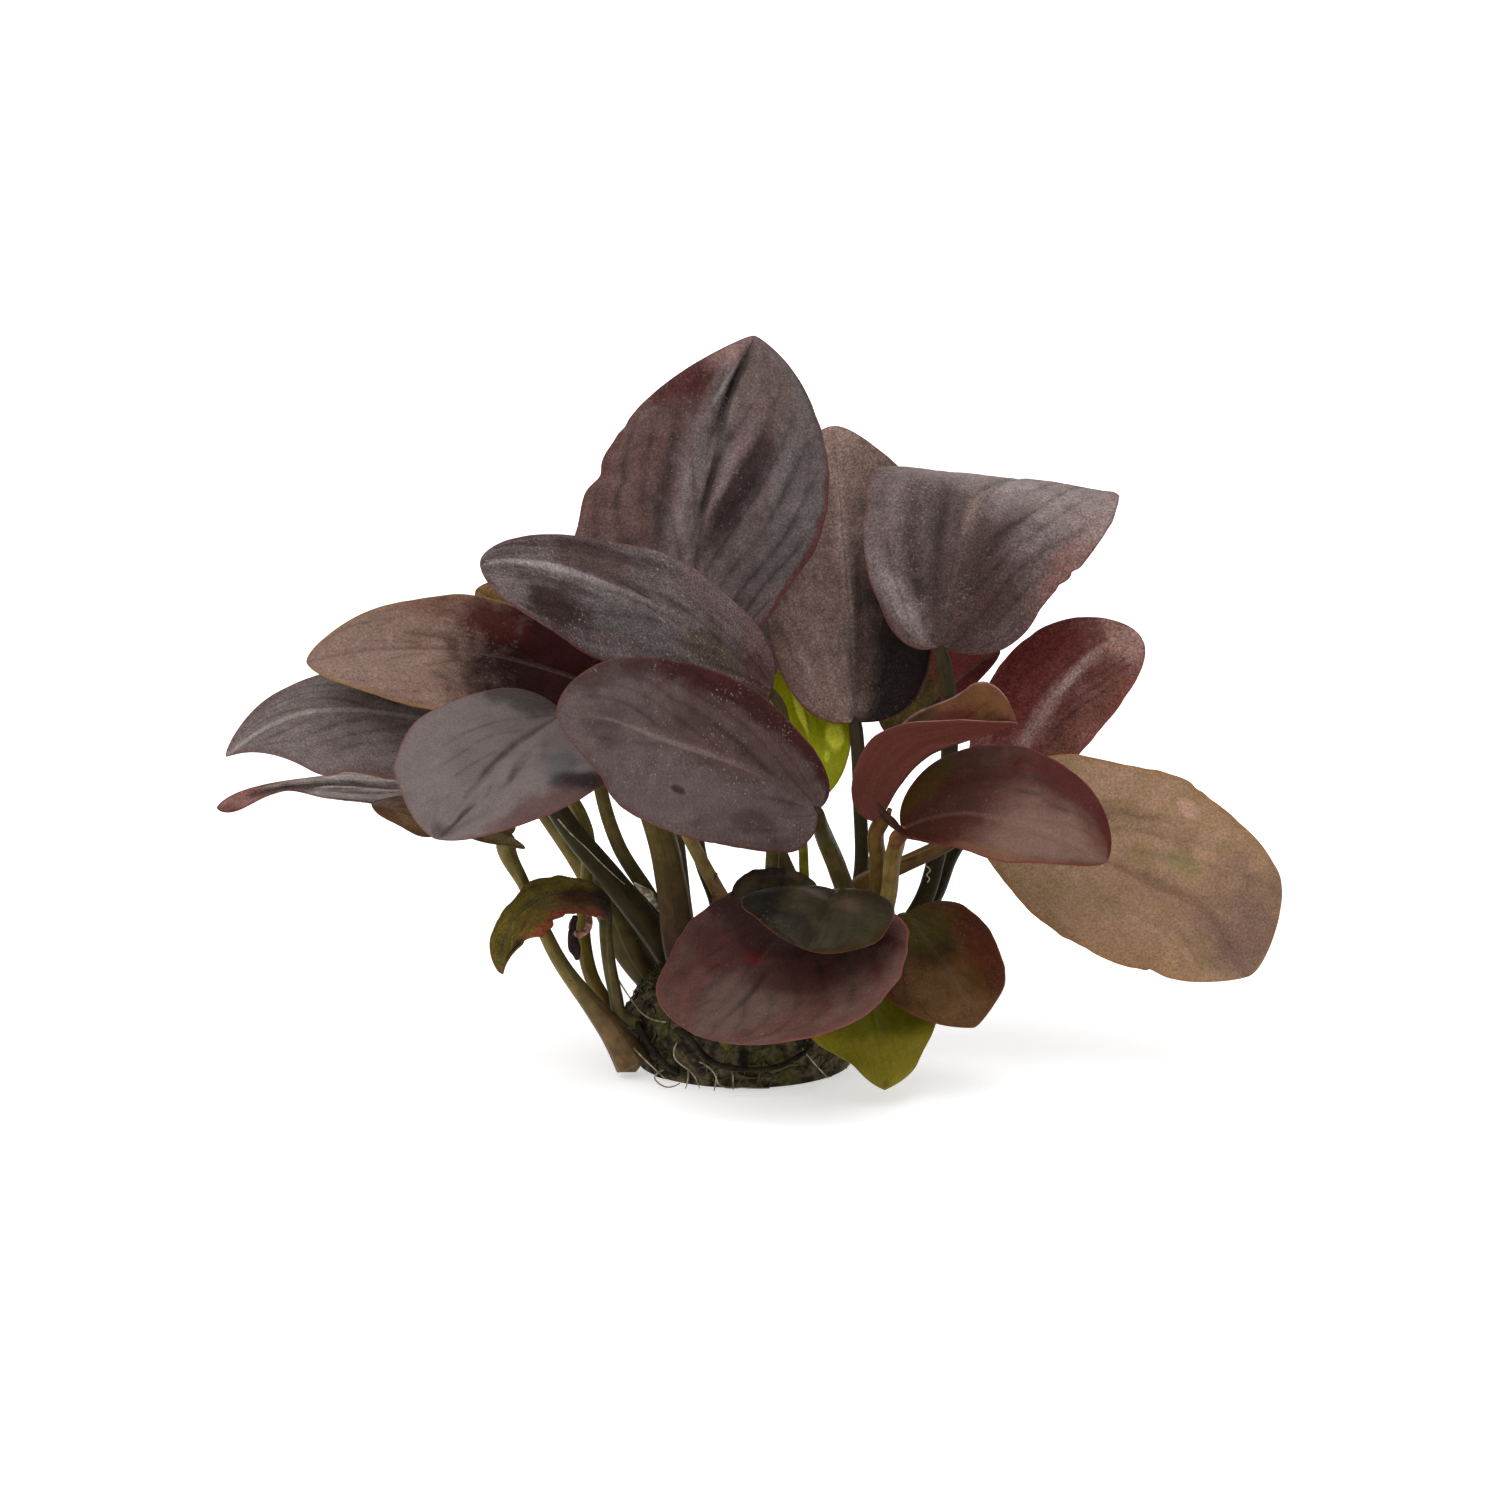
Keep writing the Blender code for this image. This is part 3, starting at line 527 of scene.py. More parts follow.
class Field:
    """Seeded smooth noise through space, from -1 to 1."""

    LATTICE = 32

    def __init__(self, seed: int) -> None:
        """Draws the noise's lattice from the seed."""
        shape = (self.LATTICE,) * 3
        self.values = np.random.default_rng(seed).uniform(-1, 1, shape)

    def at(self, points: np.ndarray, size: float) -> np.ndarray:
        """The noise at each point, with lumps of that size."""
        place = points / size
        low = np.floor(place).astype(int)
        t = place - low
        t = t * t * (3 - 2 * t)
        total = np.zeros(points.shape[:-1])
        for corner in np.ndindex(2, 2, 2):
            weight = np.prod(np.where(corner, t, 1 - t), axis=-1)
            x, y, z = np.moveaxis((low + corner) % self.LATTICE, -1, 0)
            total += weight * self.values[x, y, z]
        return total


class Pile:
    """Gathers the points, faces and layers of one piece."""

    def __init__(self) -> None:
        """Starts with nothing in it."""
        self.points: list[np.ndarray] = []
        self.faces: list[list[int]] = []
        self.layers: dict[str, list[np.ndarray]] = {}
        self.count = 0

    def add(self, points: np.ndarray, faces: np.ndarray, **layers: np.ndarray) -> None:
        """Adds one closed body.

        Args:
            points: Its points, in millimetres.
            faces: The indices of each face's points.
            layers: Three numbers for each point, by the layer's name.
        """
        self.points.append(points)
        for face in faces.tolist():
            whole = [i for k, i in enumerate(face) if i != face[k - 1]]
            self.faces.append([i + self.count for i in whole])
        for name, values in layers.items():
            self.layers.setdefault(name, []).append(values)
        self.count += len(points)

    def make(self, name: str, origin: Sequence[float]) -> bpy.types.Object:
        """Makes the piece.

        Args:
            name: The piece's name.
            origin: Where its own origin is, in millimetres.

        Returns:
            The object, in the scene, with its mesh shaded smooth.
        """
        origin = np.array(origin, float)
        mesh = bpy.data.meshes.new(name)
        points = (np.concatenate(self.points) - origin) * MM
        mesh.from_pydata(points.tolist(), [], self.faces)
        for layer, parts in self.layers.items():
            values = np.concatenate(parts).astype(np.float32)
            attribute = mesh.attributes.new(layer, "FLOAT_VECTOR", "POINT")
            attribute.data.foreach_set("vector", values.ravel())
        mesh.shade_smooth()
        mesh.validate()
        piece = bpy.data.objects.new(name, mesh)
        piece.location = origin * MM
        bpy.context.scene.collection.objects.link(piece)
        triangles = sum(len(face) - 2 for face in self.faces)
        log.info("%s: %d triangles", name, triangles)
        return piece


def circle(sides: int) -> np.ndarray:
    """Even angles all round, in radians."""
    return np.linspace(0, 2 * math.pi, sides, endpoint=False)


def steps_of(points: Sequence[Point]) -> np.ndarray:
    """How far each point is from the one before."""
    return np.linalg.norm(np.diff(np.array(points, float), axis=0), axis=1)


def round_radii(radii: np.ndarray, sides: int) -> np.ndarray:
    """One radius for each ring and side of a round tube."""
    return np.repeat(radii[:, None], sides, axis=1)


def quads(rows: np.ndarray) -> np.ndarray:
    """The four-cornered faces between neighbouring rows and columns of point numbers."""
    corners = (rows[:-1, :-1], rows[:-1, 1:], rows[1:, 1:], rows[1:, :-1])
    return np.stack(corners, axis=-1).reshape(-1, 4)


def ring_numbers(rings: int, sides: int) -> np.ndarray:
    """Point numbers of rings that close all round and end in two single points, numbered last."""
    number = np.arange(rings * sides).reshape(rings, sides)
    number = np.vstack([np.full(sides, number.size), number, np.full(sides, number.size + 1)])
    return np.hstack([number, number[:, :1]])


def add_tube(
    pile: Pile, path: np.ndarray, radii: np.ndarray, facing: Sequence[float] = (0, 1, 0.2)
) -> None:
    """Adds a closed tube with round ends along a path.

    Args:
        pile: The pile that it goes on.
        path: One point for each ring, in millimetres.
        radii: One radius for each ring and side.
        facing: The side where the angle is 0, at the first ring.
    """
    rings, sides = radii.shape
    ways = unit(np.gradient(path, axis=0))
    across = np.array(facing, float)
    frames = []
    for way in ways:
        across = unit(across - way * across.dot(way))
        frames.append((across, np.cross(way, across)))
    u, v = np.moveaxis(np.array(frames), 1, 0)
    angle = circle(sides)
    spoke = u[:, None] * np.cos(angle)[:, None] + v[:, None] * np.sin(angle)[:, None]
    skin = path[:, None] + spoke * radii[..., None]
    foot = path[0] - ways[0] * radii[0].mean() * 0.5
    top = path[-1] + ways[-1] * radii[-1].mean() * 0.5
    points = np.concatenate([skin.reshape(-1, 3), [foot, top]])
    number = ring_numbers(rings, sides)
    share = np.linspace(0, 1, rings)[:, None]
    place = np.stack(np.broadcast_arrays(share, angle / (2 * math.pi), 0.0 * radii), axis=-1)
    place = np.concatenate([place.reshape(-1, 3), [[0, 0, 0], [1, 0, 0]]])
    pile.add(points, quads(number), place=place)


def make_tube(
    name: str, path: np.ndarray, radii: np.ndarray, facing: Sequence[float] = (0, 1, 0.2)
) -> bpy.types.Object:
    """Makes a piece that is one closed tube.

    Args:
        name: The piece's name.
        path: One point for each ring, in millimetres.
        radii: One radius for each ring and side.
        facing: The side where the angle is 0, at the first ring.

    Returns:
        The object, with its own origin at the path's first point.
    """
    pile = Pile()
    add_tube(pile, path, radii, facing)
    return pile.make(name, path[0])


def seat(piece: bpy.types.Object, slot: Slot, material: bpy.types.Material, *nodes: str) -> None:
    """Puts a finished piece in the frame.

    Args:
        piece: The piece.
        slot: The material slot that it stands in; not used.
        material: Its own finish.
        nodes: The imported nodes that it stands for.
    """
    piece.data.materials.append(material)
    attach(piece, "root")
    if nodes:
        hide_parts(*nodes)


@dataclass(frozen=True)
class Nick:
    """A notch that is missing from a margin."""

    right: bool
    share: float  # its middle, from base to tip
    wide: float  # its half width, as a share of the length
    deep: float  # its depth, as a share of the half width


@dataclass(frozen=True)
class Crease:
    """A valley pressed into the upper side along a line, or a ridge where its depth is below 0."""

    line: tuple[tuple[float, float], ...]  # how far along and how far across each of its points is
    wide: float = 1.2  # half width in millimetres
    deep: float = 0.4  # depth in millimetres
    tone: float = 0.8  # how much darker its painted shade looks than the rest, or lighter on a ridge, 0 to 1


@dataclass(frozen=True)
class Relief:
    """How a blade's surface departs from its smooth form, in millimetres."""

    groove: float = 0.25  # depth of the midrib's groove on the upper side
    groove_width: float = 0.45
    keel: float = 0.7  # how far the midrib stands out of the underside at the base
    keel_width: float = 0.9
    veins: float = 5  # arching veins on each side of the midrib
    vein_depth: float = 0.06
    slant: float = 0.9  # how far towards the tip a vein climbs between midrib and margin
    wrinkle: float = 0.35
    wrinkle_size: float = 9
    leather: float = 0.1  # height of the puckers between the fine veins
    leather_sizes: tuple[float, float] = (2.6, 1.7)
    pebble: float = 0.03
    pebble_size: float = 1.3
    ragged: float = 0.012  # unevenness of the outline, as a share of the half width
    nicks: tuple[Nick, ...] = ()
    creases: tuple[Crease, ...] = ()


@dataclass(frozen=True)
class Patch:
    """A soft-edged area of another colour on the upper side."""

    share: float  # its middle, from base to tip
    across: float  # and from the left margin at -1 to the right one at 1
    long: float  # its half sizes in the same measures
    wide: float
    colour: Colour
    strength: float = 1.0
    soft: float = 0.8  # width of its edge, as a share of its size
    ragged: float = 0.3  # how far its edge wanders, in the same measure
    lean: float = 0.0  # how far across it moves over the blade's whole length

    def mask(self, paint: Painter, share: object, across: object, cloud: object) -> bpy.types.NodeSocket:
        """Works out where the patch is.

        Args:
            paint: The material's painter.
            share: How far along the blade a place is.
            across: How far across it.
            cloud: The noise that moves the patch's edge.

        Returns:
            The patch's share of the colour there.
        """
        up = paint.minus(share, self.share)
        aside = paint.minus(across, self.across)
        if self.lean:
            aside = paint.minus(aside, paint.times(up, self.lean))
        up = paint.times(up, 1 / self.long)
        aside = paint.times(aside, 1 / self.wide)
        away = paint.node("ShaderNodeVectorMath", {0: paint.vector(up, aside, 0.0)}, operation="LENGTH")
        wander = paint.times(paint.minus(cloud, 0.5), 4 * self.ragged)
        place = paint.plus(away.outputs["Value"], wander)
        near = paint.step(place, 1 + self.soft / 2, 1 - self.soft / 2)
        return paint.times(near, self.strength)


@dataclass(frozen=True)
class BladeFinish:
    """The finish of one blade: velvety and puckered above, with painted sheen and shade, plainer below."""

    body: Colour
    deep: Colour  # the darker clouds in it
    painted_sheen: Colour  # painted sheen: the pale grey glow of the light on its velvet
    painted_sheen_share: float = 0.5
    margin: Colour = (0.1, 0.03, 0.025)
    margin_width: float = 0.6
    blush: Colour = (0.07, 0.018, 0.014)  # the red that shows along the margin
    blush_width: float = 3.5
    blush_strength: float = 0.5
    midrib: Colour = (0.11, 0.08, 0.07)
    midrib_strength: float = 0.3
    furrow_shade: Colour = (0.018, 0.009, 0.008)  # painted shade at the bottom of veins and creases
    furrow_shade_strength: float = 0.6
    underside: Colour = (0.09, 0.03, 0.022)
    underlight: Colour = (0.11, 0.042, 0.028)  # the paler streaks in it
    # specks: painted glints of light on the pebbles in grey, the blade's own specks in other colours
    speck_and_glint: Colour = (0.4, 0.34, 0.3)
    speck_and_glint_strength: float = 0.2
    shade: float = 0.3  # contrast of the painted light and shade on its puckers, veins and creases
    grit: float = 0.3  # contrast of the finest grain, painted lighter on its pebbles and darker between them
    grain: float = 0.06  # and its height in millimetres
    crinkle: float = 0.08  # contrast of the painted shade in the fine creases of its leather and painted light between them
    streak: float = 0.4  # how far the painted sheen runs in lengthwise streaks, 0 to 1
    roughness: float = 0.5
    shine: float = 0.08
    sheen: float = 0.01
    cloud_size: float = 9  # sizes of its mottling in millimetres, from the broadest to the finest
    wisp_size: float = 5
    edge_size: float = 4
    crease_size: float = 0.8
    dot_size: float = 0.5
    grit_size: float = 0.42
    patches: tuple[Patch, ...] = ()

    def material(self, name: str) -> bpy.types.Material:
        """Paints the finish as nodes.

        Args:
            name: The material's name.

        Returns:
            The material, which reads the blade's place and reach layers.
        """
        paint = Painter(name)
        share, across, tone = paint.split(paint.layer("place"))
        edge, rib, upper = paint.split(paint.layer("reach"))
        cloud = paint.noise(self.cloud_size, 3)
        ragged = paint.noise(self.edge_size, 4, 0.6)
        grit = paint.noise(self.grit_size, 3, 0.75)
        along = paint.vector(paint.times(share, 2.2), paint.times(across, 6), tone)
        streaks = paint.noise(1, 4, 0.6, along)
        colour = paint.mix(paint.span(cloud, 0.35, 0.65, 0.6, 0), self.body, self.deep)
        streaked = paint.times(paint.minus(streaks, 0.5), 1.4 * self.streak)
        wisps = paint.minus(paint.noise(self.wisp_size, 3), 0.5)
        clouded = paint.times(wisps, 1.1 * (1 - self.streak))
        # painted sheen, in lengthwise streaks and soft wisps
        painted_sheen = paint.plus(paint.plus(streaked, clouded), self.painted_sheen_share)
        colour = paint.mix(paint.step(painted_sheen, 0.25, 0.75), colour, self.painted_sheen)
        inward = paint.plus(edge, paint.times(ragged, self.blush_width))
        blush = paint.step(inward, 1.2 * self.blush_width, 0.3 * self.blush_width)
        colour = paint.mix(paint.times(blush, self.blush_strength), colour, self.blush)
        for patch in self.patches:
            colour = paint.mix(patch.mask(paint, share, across, ragged), colour, patch.colour)
        # painted shade in the veins and creases
        furrow_shade = paint.times(paint.step(tone, -0.15, -1.0), self.furrow_shade_strength)
        colour = paint.mix(furrow_shade, colour, self.furrow_shade)
        spine = paint.times(paint.step(rib, 0.75, 0.2), self.midrib_strength)
        colour = paint.mix(spine, colour, self.midrib)
        # painted light and shade of the relief
        colour = paint.scale(colour, paint.span(tone, -0.7, 0.7, 1 - self.shade, 1 + self.shade))
        # grain painted lighter on its pebbles and darker between them
        colour = paint.vary(colour, grit, 0.18, self.grit)
        # painted shade in the fine creases of the leather, painted light between them
        swell = paint.math("ABSOLUTE", paint.minus(paint.noise(self.crease_size, 2, 0.6), 0.5))
        colour = paint.scale(colour, paint.span(swell, 0.0, 0.1, 1 - self.crinkle, 1 + 0.7 * self.crinkle))
        # specks: painted glints of light on the pebbles, or the blade's own specks where not grey
        dots = paint.step(paint.noise(self.dot_size, 2, 0.6), 0.6, 0.72)
        dots = paint.times(dots, paint.step(cloud, 0.4, 0.6))
        colour = paint.mix(paint.times(dots, self.speck_and_glint_strength), colour, self.speck_and_glint)
        rim = paint.step(edge, self.margin_width, self.margin_width * 0.2)
        rim = paint.times(rim, paint.span(ragged, 0.35, 0.6, 0.25, 0.85))
        colour = paint.mix(rim, colour, self.margin)
        below = paint.mix(paint.step(streaks, 0.4, 0.62), self.underside, self.underlight)
        below = paint.vary(below, grit, 0.18, 0.12)
        colour = paint.mix(upper, below, colour)
        paint.bump(grit, self.grain)
        paint.colour(colour)
        paint.roughness(paint.span(grit, 0.3, 0.7, self.roughness + 0.1, self.roughness - 0.1))
        paint.fix(Specular_IOR_Level=self.shine, Sheen_Weight=self.sheen)
        paint.fix(Sheen_Roughness=0.4, Sheen_Tint=(0.8, 0.85, 0.95, 1))
        return paint.material


@dataclass(frozen=True)
class Blade:
    """A leaf's blade: one bent, pleated and pebbled sheet with a rounded margin."""

    leaf: Leaf
    finish: BladeFinish
    relief: Relief
    seed: int
    spacing: float = 0.57  # millimetres between neighbouring points
    thickness: float = 0.5
    lobe_fade: float = 4
    tangent_step: float = 0.004
    crease_steps: int = 20
    elsewhere: float = 50  # how far off a second reading of the same noise is
    flat_margin: float = 1.5  # width of the smooth strip along the margin

    def columns(self) -> np.ndarray:
        """Where the grid's columns are, -1 to 1, closest at the midrib and the margins."""
        widest = max(*self.leaf.left, *self.leaf.right)
        half = np.linspace(0, 1, round(widest / self.spacing) + 4)[1:] ** 1.25
        half = np.concatenate([half[half < 0.975], [0.975, 0.99, 0.997, 1]])
        return np.concatenate([-half[::-1], [0], half])

    def rows(self) -> np.ndarray:
        """Where the grid's rows are, 0 to 1, closest at the base and the tip."""
        count = round(1.25 * steps_of(self.leaf.midrib).sum() / self.spacing)
        return (1 - np.cos(np.linspace(0, math.pi, count + 1))) / 2

    def outline(self, shares: np.ndarray, noise: Field) -> tuple[np.ndarray, np.ndarray, np.ndarray]:
        """Works out how wide each half is.

        Args:
            shares: The rows, 0 at the base to 1 at the tip.
            noise: What makes the margin uneven.

        Returns:
            The left and right half widths, and how full the blade is, 1 at its widest.
        """
        base, tip = self.leaf.ends
        widest = base / (base + tip)
        full = shares**base * (1 - shares) ** tip / (widest**base * (1 - widest) ** tip)
        halves = []
        for right, widths in enumerate((self.leaf.left, self.leaf.right)):
            width = smooth_values(widths, shares) * full
            spot = np.stack([shares, 0 * shares + right * 7, 0 * shares], axis=-1)
            uneven = noise.at(spot, 0.07) + 0.5 * noise.at(spot, 0.03)
            width = width * (1 + self.relief.ragged * uneven)
            for nick in self.relief.nicks:
                if nick.right == bool(right):
                    width = width * (1 - nick.deep * np.exp(-(((shares - nick.share) / nick.wide) ** 2)))
            halves.append(width)
        return halves[0], halves[1], full

    def surface(
        self, shares: np.ndarray, across: np.ndarray, noise: Field
    ) -> tuple[np.ndarray, np.ndarray]:
        """Bends the grid to the blade's smooth middle surface.

        Args:
            shares: The rows, 0 at the base to 1 at the tip.
            across: The columns, -1 at the left margin to 1 at the right one.
            noise: What makes the margin uneven.

        Returns:
            The points, and the half width that each stands in.
        """
        leaf = self.leaf
        step = self.tangent_step
        tangent = unit(smooth_path(leaf.midrib, shares + step) - smooth_path(leaf.midrib, shares - step))
        facing = smooth_values(unit(np.array(leaf.face, float)), shares)
        up = unit(facing - tangent * (facing * tangent).sum(-1, keepdims=True))
        side = np.cross(tangent, up)
        left, right, full = self.outline(shares, noise)
        is_right = (across > 0).astype(int)
        reach = np.abs(across)
        width = np.where(is_right, right[:, None], left[:, None])
        fold = np.radians(np.array(leaf.fold, float))[is_right]
        curl = np.radians(np.array(leaf.curl, float))[is_right]
        curl = np.where(np.abs(curl) < self.tangent_step, self.tangent_step, curl)
        turned = fold + curl * reach
        out = width * (np.sin(turned) - np.sin(fold)) / curl
        rise = width * (np.cos(fold) - np.cos(turned)) / curl
        phase = np.where(is_right, 1.3, 0.2)
        ripple = np.sin(2 * math.pi * leaf.ripples * shares[:, None] + phase)
        rise += leaf.wave * ripple * np.sin(math.pi * shares)[:, None] * reach**2
        lobe = np.array(leaf.lobe, float)[is_right] * leaf.length
        back = lobe * full[:, None] * reach**1.5 * (1 - shares[:, None]) ** self.lobe_fade
        out = np.where(is_right, out, -out)
        middle = smooth_path(leaf.midrib, shares)
        points = middle[:, None] + side[:, None] * out[..., None]
        points += up[:, None] * rise[..., None] - tangent[:, None] * back[..., None]
        return points, width

    def veins(self, shares: np.ndarray, across: np.ndarray, noise: Field) -> np.ndarray:
        """How deep each point is in one of the arching veins, 0 to 1."""
        reach = np.abs(across)
        spot = np.stack(np.broadcast_arrays(shares[:, None] * 2, across * 2, 0.0), axis=-1)
        climb = shares[:, None] - self.relief.slant * reach**1.2 + 0.05 * noise.at(spot, 0.6)
        wave = np.abs(np.sin(math.pi * self.relief.veins * climb))
        inside = fade(reach, 0.04, 0.16) * fade(reach, 1.0, 0.8)
        patchy = fade(noise.at(spot, 0.9), -0.5, 0.4)
        return (1 - wave) ** 2 * inside * patchy * fade(shares[:, None], 1.0, 0.85)

    def pressed(self, crease: Crease, shares: np.ndarray, rib: np.ndarray) -> np.ndarray:
        """How deep each point is in a crease.

        Args:
            crease: The crease.
            shares: The rows, 0 at the base to 1 at the tip.
            rib: How far each point is from the midrib in millimetres, below 0 on the left.

        Returns:
            1 along the crease's line to 0 away from it, and less towards the line's ends.
        """
        length = self.leaf.length
        line = smooth_path([(*point, 0) for point in crease.line], np.linspace(0, 1, self.crease_steps))
        left, right = (np.interp(line[:, 0], shares, np.abs(rib[:, column])) for column in (0, -1))
        margin = np.where(line[:, 1] > 0, right, left)
        line = np.stack([line[:, 0] * length, line[:, 1] * margin], axis=-1)
        up = shares[:, None] * length + 0 * rib
        nearest = np.full(rib.shape, np.inf)
        along = np.zeros(rib.shape)
        for index, (start, end) in enumerate(zip(line[:-1], line[1:])):
            way = end - start
            t = np.clip(((up - start[0]) * way[0] + (rib - start[1]) * way[1]) / way.dot(way), 0, 1)
            away = np.hypot(up - start[0] - t * way[0], rib - start[1] - t * way[1])
            closer = away < nearest
            nearest = np.where(closer, away, nearest)
            along = np.where(closer, (index + t) / (len(line) - 1), along)
        return np.exp(-((nearest / crease.wide) ** 2)) * np.sqrt(np.sin(math.pi * along))

    def build(self) -> bpy.types.Object:
        """Models the blade."""
        relief = self.relief
        noise = Field(self.seed)
        shares, across = self.rows(), self.columns()
        points, width = self.surface(shares, across, noise)
        along = np.gradient(points, axis=0)
        sideways = np.gradient(points, axis=1)
        normal = np.cross(sideways, along)
        normal[0], normal[-1] = normal[1], normal[-2]
        normal = unit(normal)
        reach = np.abs(across)[None, :]
        rib = reach * width
        edge = (1 - reach) * width
        ends = (4 * shares * (1 - shares))[:, None] ** 0.5
        groove = np.exp(-((rib / relief.groove_width) ** 2)) * (1 - shares[:, None] ** 3)
        veins = self.veins(shares, across, noise)
        fine = noise.at(points, relief.pebble_size)
        broad, narrow = relief.leather_sizes
        puckers = 0.6 * noise.at(points, broad) + 0.4 * noise.at(points + self.elsewhere, narrow)
        bumps = relief.wrinkle * noise.at(points, relief.wrinkle_size)
        bumps += 0.4 * relief.wrinkle * noise.at(points, relief.wrinkle_size * 0.4)
        bumps += relief.pebble * fine + relief.leather * puckers
        bumps -= relief.vein_depth * veins + relief.groove * groove
        # painted light and shade of the relief: lighter on puckers and ridges, darker in veins, groove and
        # creases
        tone = 0.15 * fine + 0.25 * puckers - 0.5 * veins - relief.groove * groove
        for crease in relief.creases:
            pressed = self.pressed(crease, shares, rib * np.sign(across))
            bumps -= crease.deep * pressed
            tone -= crease.tone * np.sign(crease.deep) * pressed
        bumps *= ends * fade(edge, 0, self.flat_margin)
        thick = 0.5 * self.thickness * np.sqrt(np.clip(1 - reach**30, 0, 1)) * np.sqrt(ends)
        keel = relief.keel * np.exp(-((rib / relief.keel_width) ** 2)) * (1 - shares[:, None]) ** 0.8 * ends
        middle = points + normal * bumps[..., None]
        upper = middle + normal * thick[..., None]
        lower = middle - normal * (thick + keel)[..., None]
        place = np.stack(np.broadcast_arrays(shares[:, None], across, np.clip(tone, -1, 1)), axis=-1)
        pile = Pile()
        self.close(pile, upper, lower, place, np.stack([edge, rib], axis=-1))
        return pile.make("blade_" + self.leaf.name, self.leaf.midrib[0])

    def close(
        self, pile: Pile, upper: np.ndarray, lower: np.ndarray, place: np.ndarray, reach: np.ndarray
    ) -> None:
        """Joins the two sides at the margin, the base and the tip, and adds them to the pile."""
        rows, columns = upper.shape[:2]
        top = np.arange(rows * columns).reshape(rows, columns)
        bottom = top + rows * columns
        base, tip = top[0, columns // 2], top[-1, columns // 2]
        for number in (top, bottom):
            number[0], number[-1] = base, tip
        bottom[:, 0], bottom[:, -1] = top[:, 0], top[:, -1]
        faces = np.concatenate([quads(top), quads(bottom[:, ::-1])])
        used, faces = np.unique(faces, return_inverse=True)
        points = np.concatenate([upper.reshape(-1, 3), lower.reshape(-1, 3)])[used]
        side = np.repeat([1.0, 0.0], rows * columns)[:, None]
        reach = np.hstack([np.tile(reach.reshape(-1, 2), (2, 1)), side])[used]
        place = np.tile(place.reshape(-1, 3), (2, 1))[used]
        pile.add(points, faces.reshape(-1, 4), place=place, reach=reach)

    def dress(self, piece: bpy.types.Object) -> None:
        """Gives the blade its finish and its place in the frame."""
        green = self.leaf.name in GREEN_LEAVES
        slot = Slot.LEAF_GREEN if green else Slot.LEAF_DARK
        seat(piece, slot, self.finish.material(piece.name), "leaf_" + self.leaf.name)


@dataclass(frozen=True)
class StalkFinish:
    """The finish of a stalk: fleshy, streaked along its length, thin pale sheath edge, painted light and
    shade.
    """

    body: Colour = (0.075, 0.055, 0.014)
    shade: Colour = (0.03, 0.021, 0.006)  # painted shade towards the foot, among the other stalks
    neck: Colour = (0.05, 0.034, 0.012)
    line: Colour = (0.26, 0.2, 0.09)
    line_strength: float = 0.3
    line_turn: tuple[float, float] = (0.7, 0.88)  # where it runs round the stalk, at foot and neck
    spot: Colour = (0.012, 0.005, 0.003)
    spot_strength: float = 0.5
    streak: float = 0.15  # contrast of the lengthwise streaks
    roughness: float = 0.5
    shine: float = 0.1
    mottle_size: float = 2.2
    spot_size: float = 1.1

    def material(self, name: str) -> bpy.types.Material:
        """Paints the finish as nodes.

        Args:
            name: The material's name.

        Returns:
            The material, which reads the stalk's place layer.
        """
        paint = Painter(name)
        share, turn, _ = paint.split(paint.layer("place"))
        around = paint.math("SINE", paint.times(turn, 2 * math.pi))
        along = paint.vector(paint.times(share, 3), around, 0.0)
        streaks = paint.noise(0.3, 3, 0.6, along)
        # painted shade towards the foot
        colour = paint.mix(paint.step(share, 0.1, 0.5), self.shade, self.body)
        colour = paint.mix(paint.step(share, 0.72, 0.98), colour, self.neck)
        colour = paint.vary(colour, streaks, 0.2, self.streak)
        # painted light on one side and painted shade on the other
        colour = paint.scale(colour, paint.span(around, -1, 1, 1.25, 0.7))
        mottle = paint.noise(self.mottle_size, 3)
        colour = paint.vary(colour, mottle, 0.15, 0.2)
        spots = paint.step(paint.noise(self.spot_size, 2), 0.66, 0.74)
        spots = paint.times(spots, self.spot_strength)
        colour = paint.mix(spots, colour, self.spot)
        line_turn = paint.span(share, 0, 1, *self.line_turn)
        off_line = paint.math("ABSOLUTE", paint.minus(turn, line_turn))
        line = paint.times(paint.step(off_line, 0.016, 0.006), paint.step(share, 0.95, 0.6))
        colour = paint.mix(paint.times(line, self.line_strength), colour, self.line)
        paint.bump(streaks, 0.05)
        paint.colour(colour)
        paint.roughness(paint.span(mottle, 0.3, 0.7, self.roughness - 0.08, self.roughness + 0.08))
        paint.fix(Specular_IOR_Level=self.shine)
        return paint.material


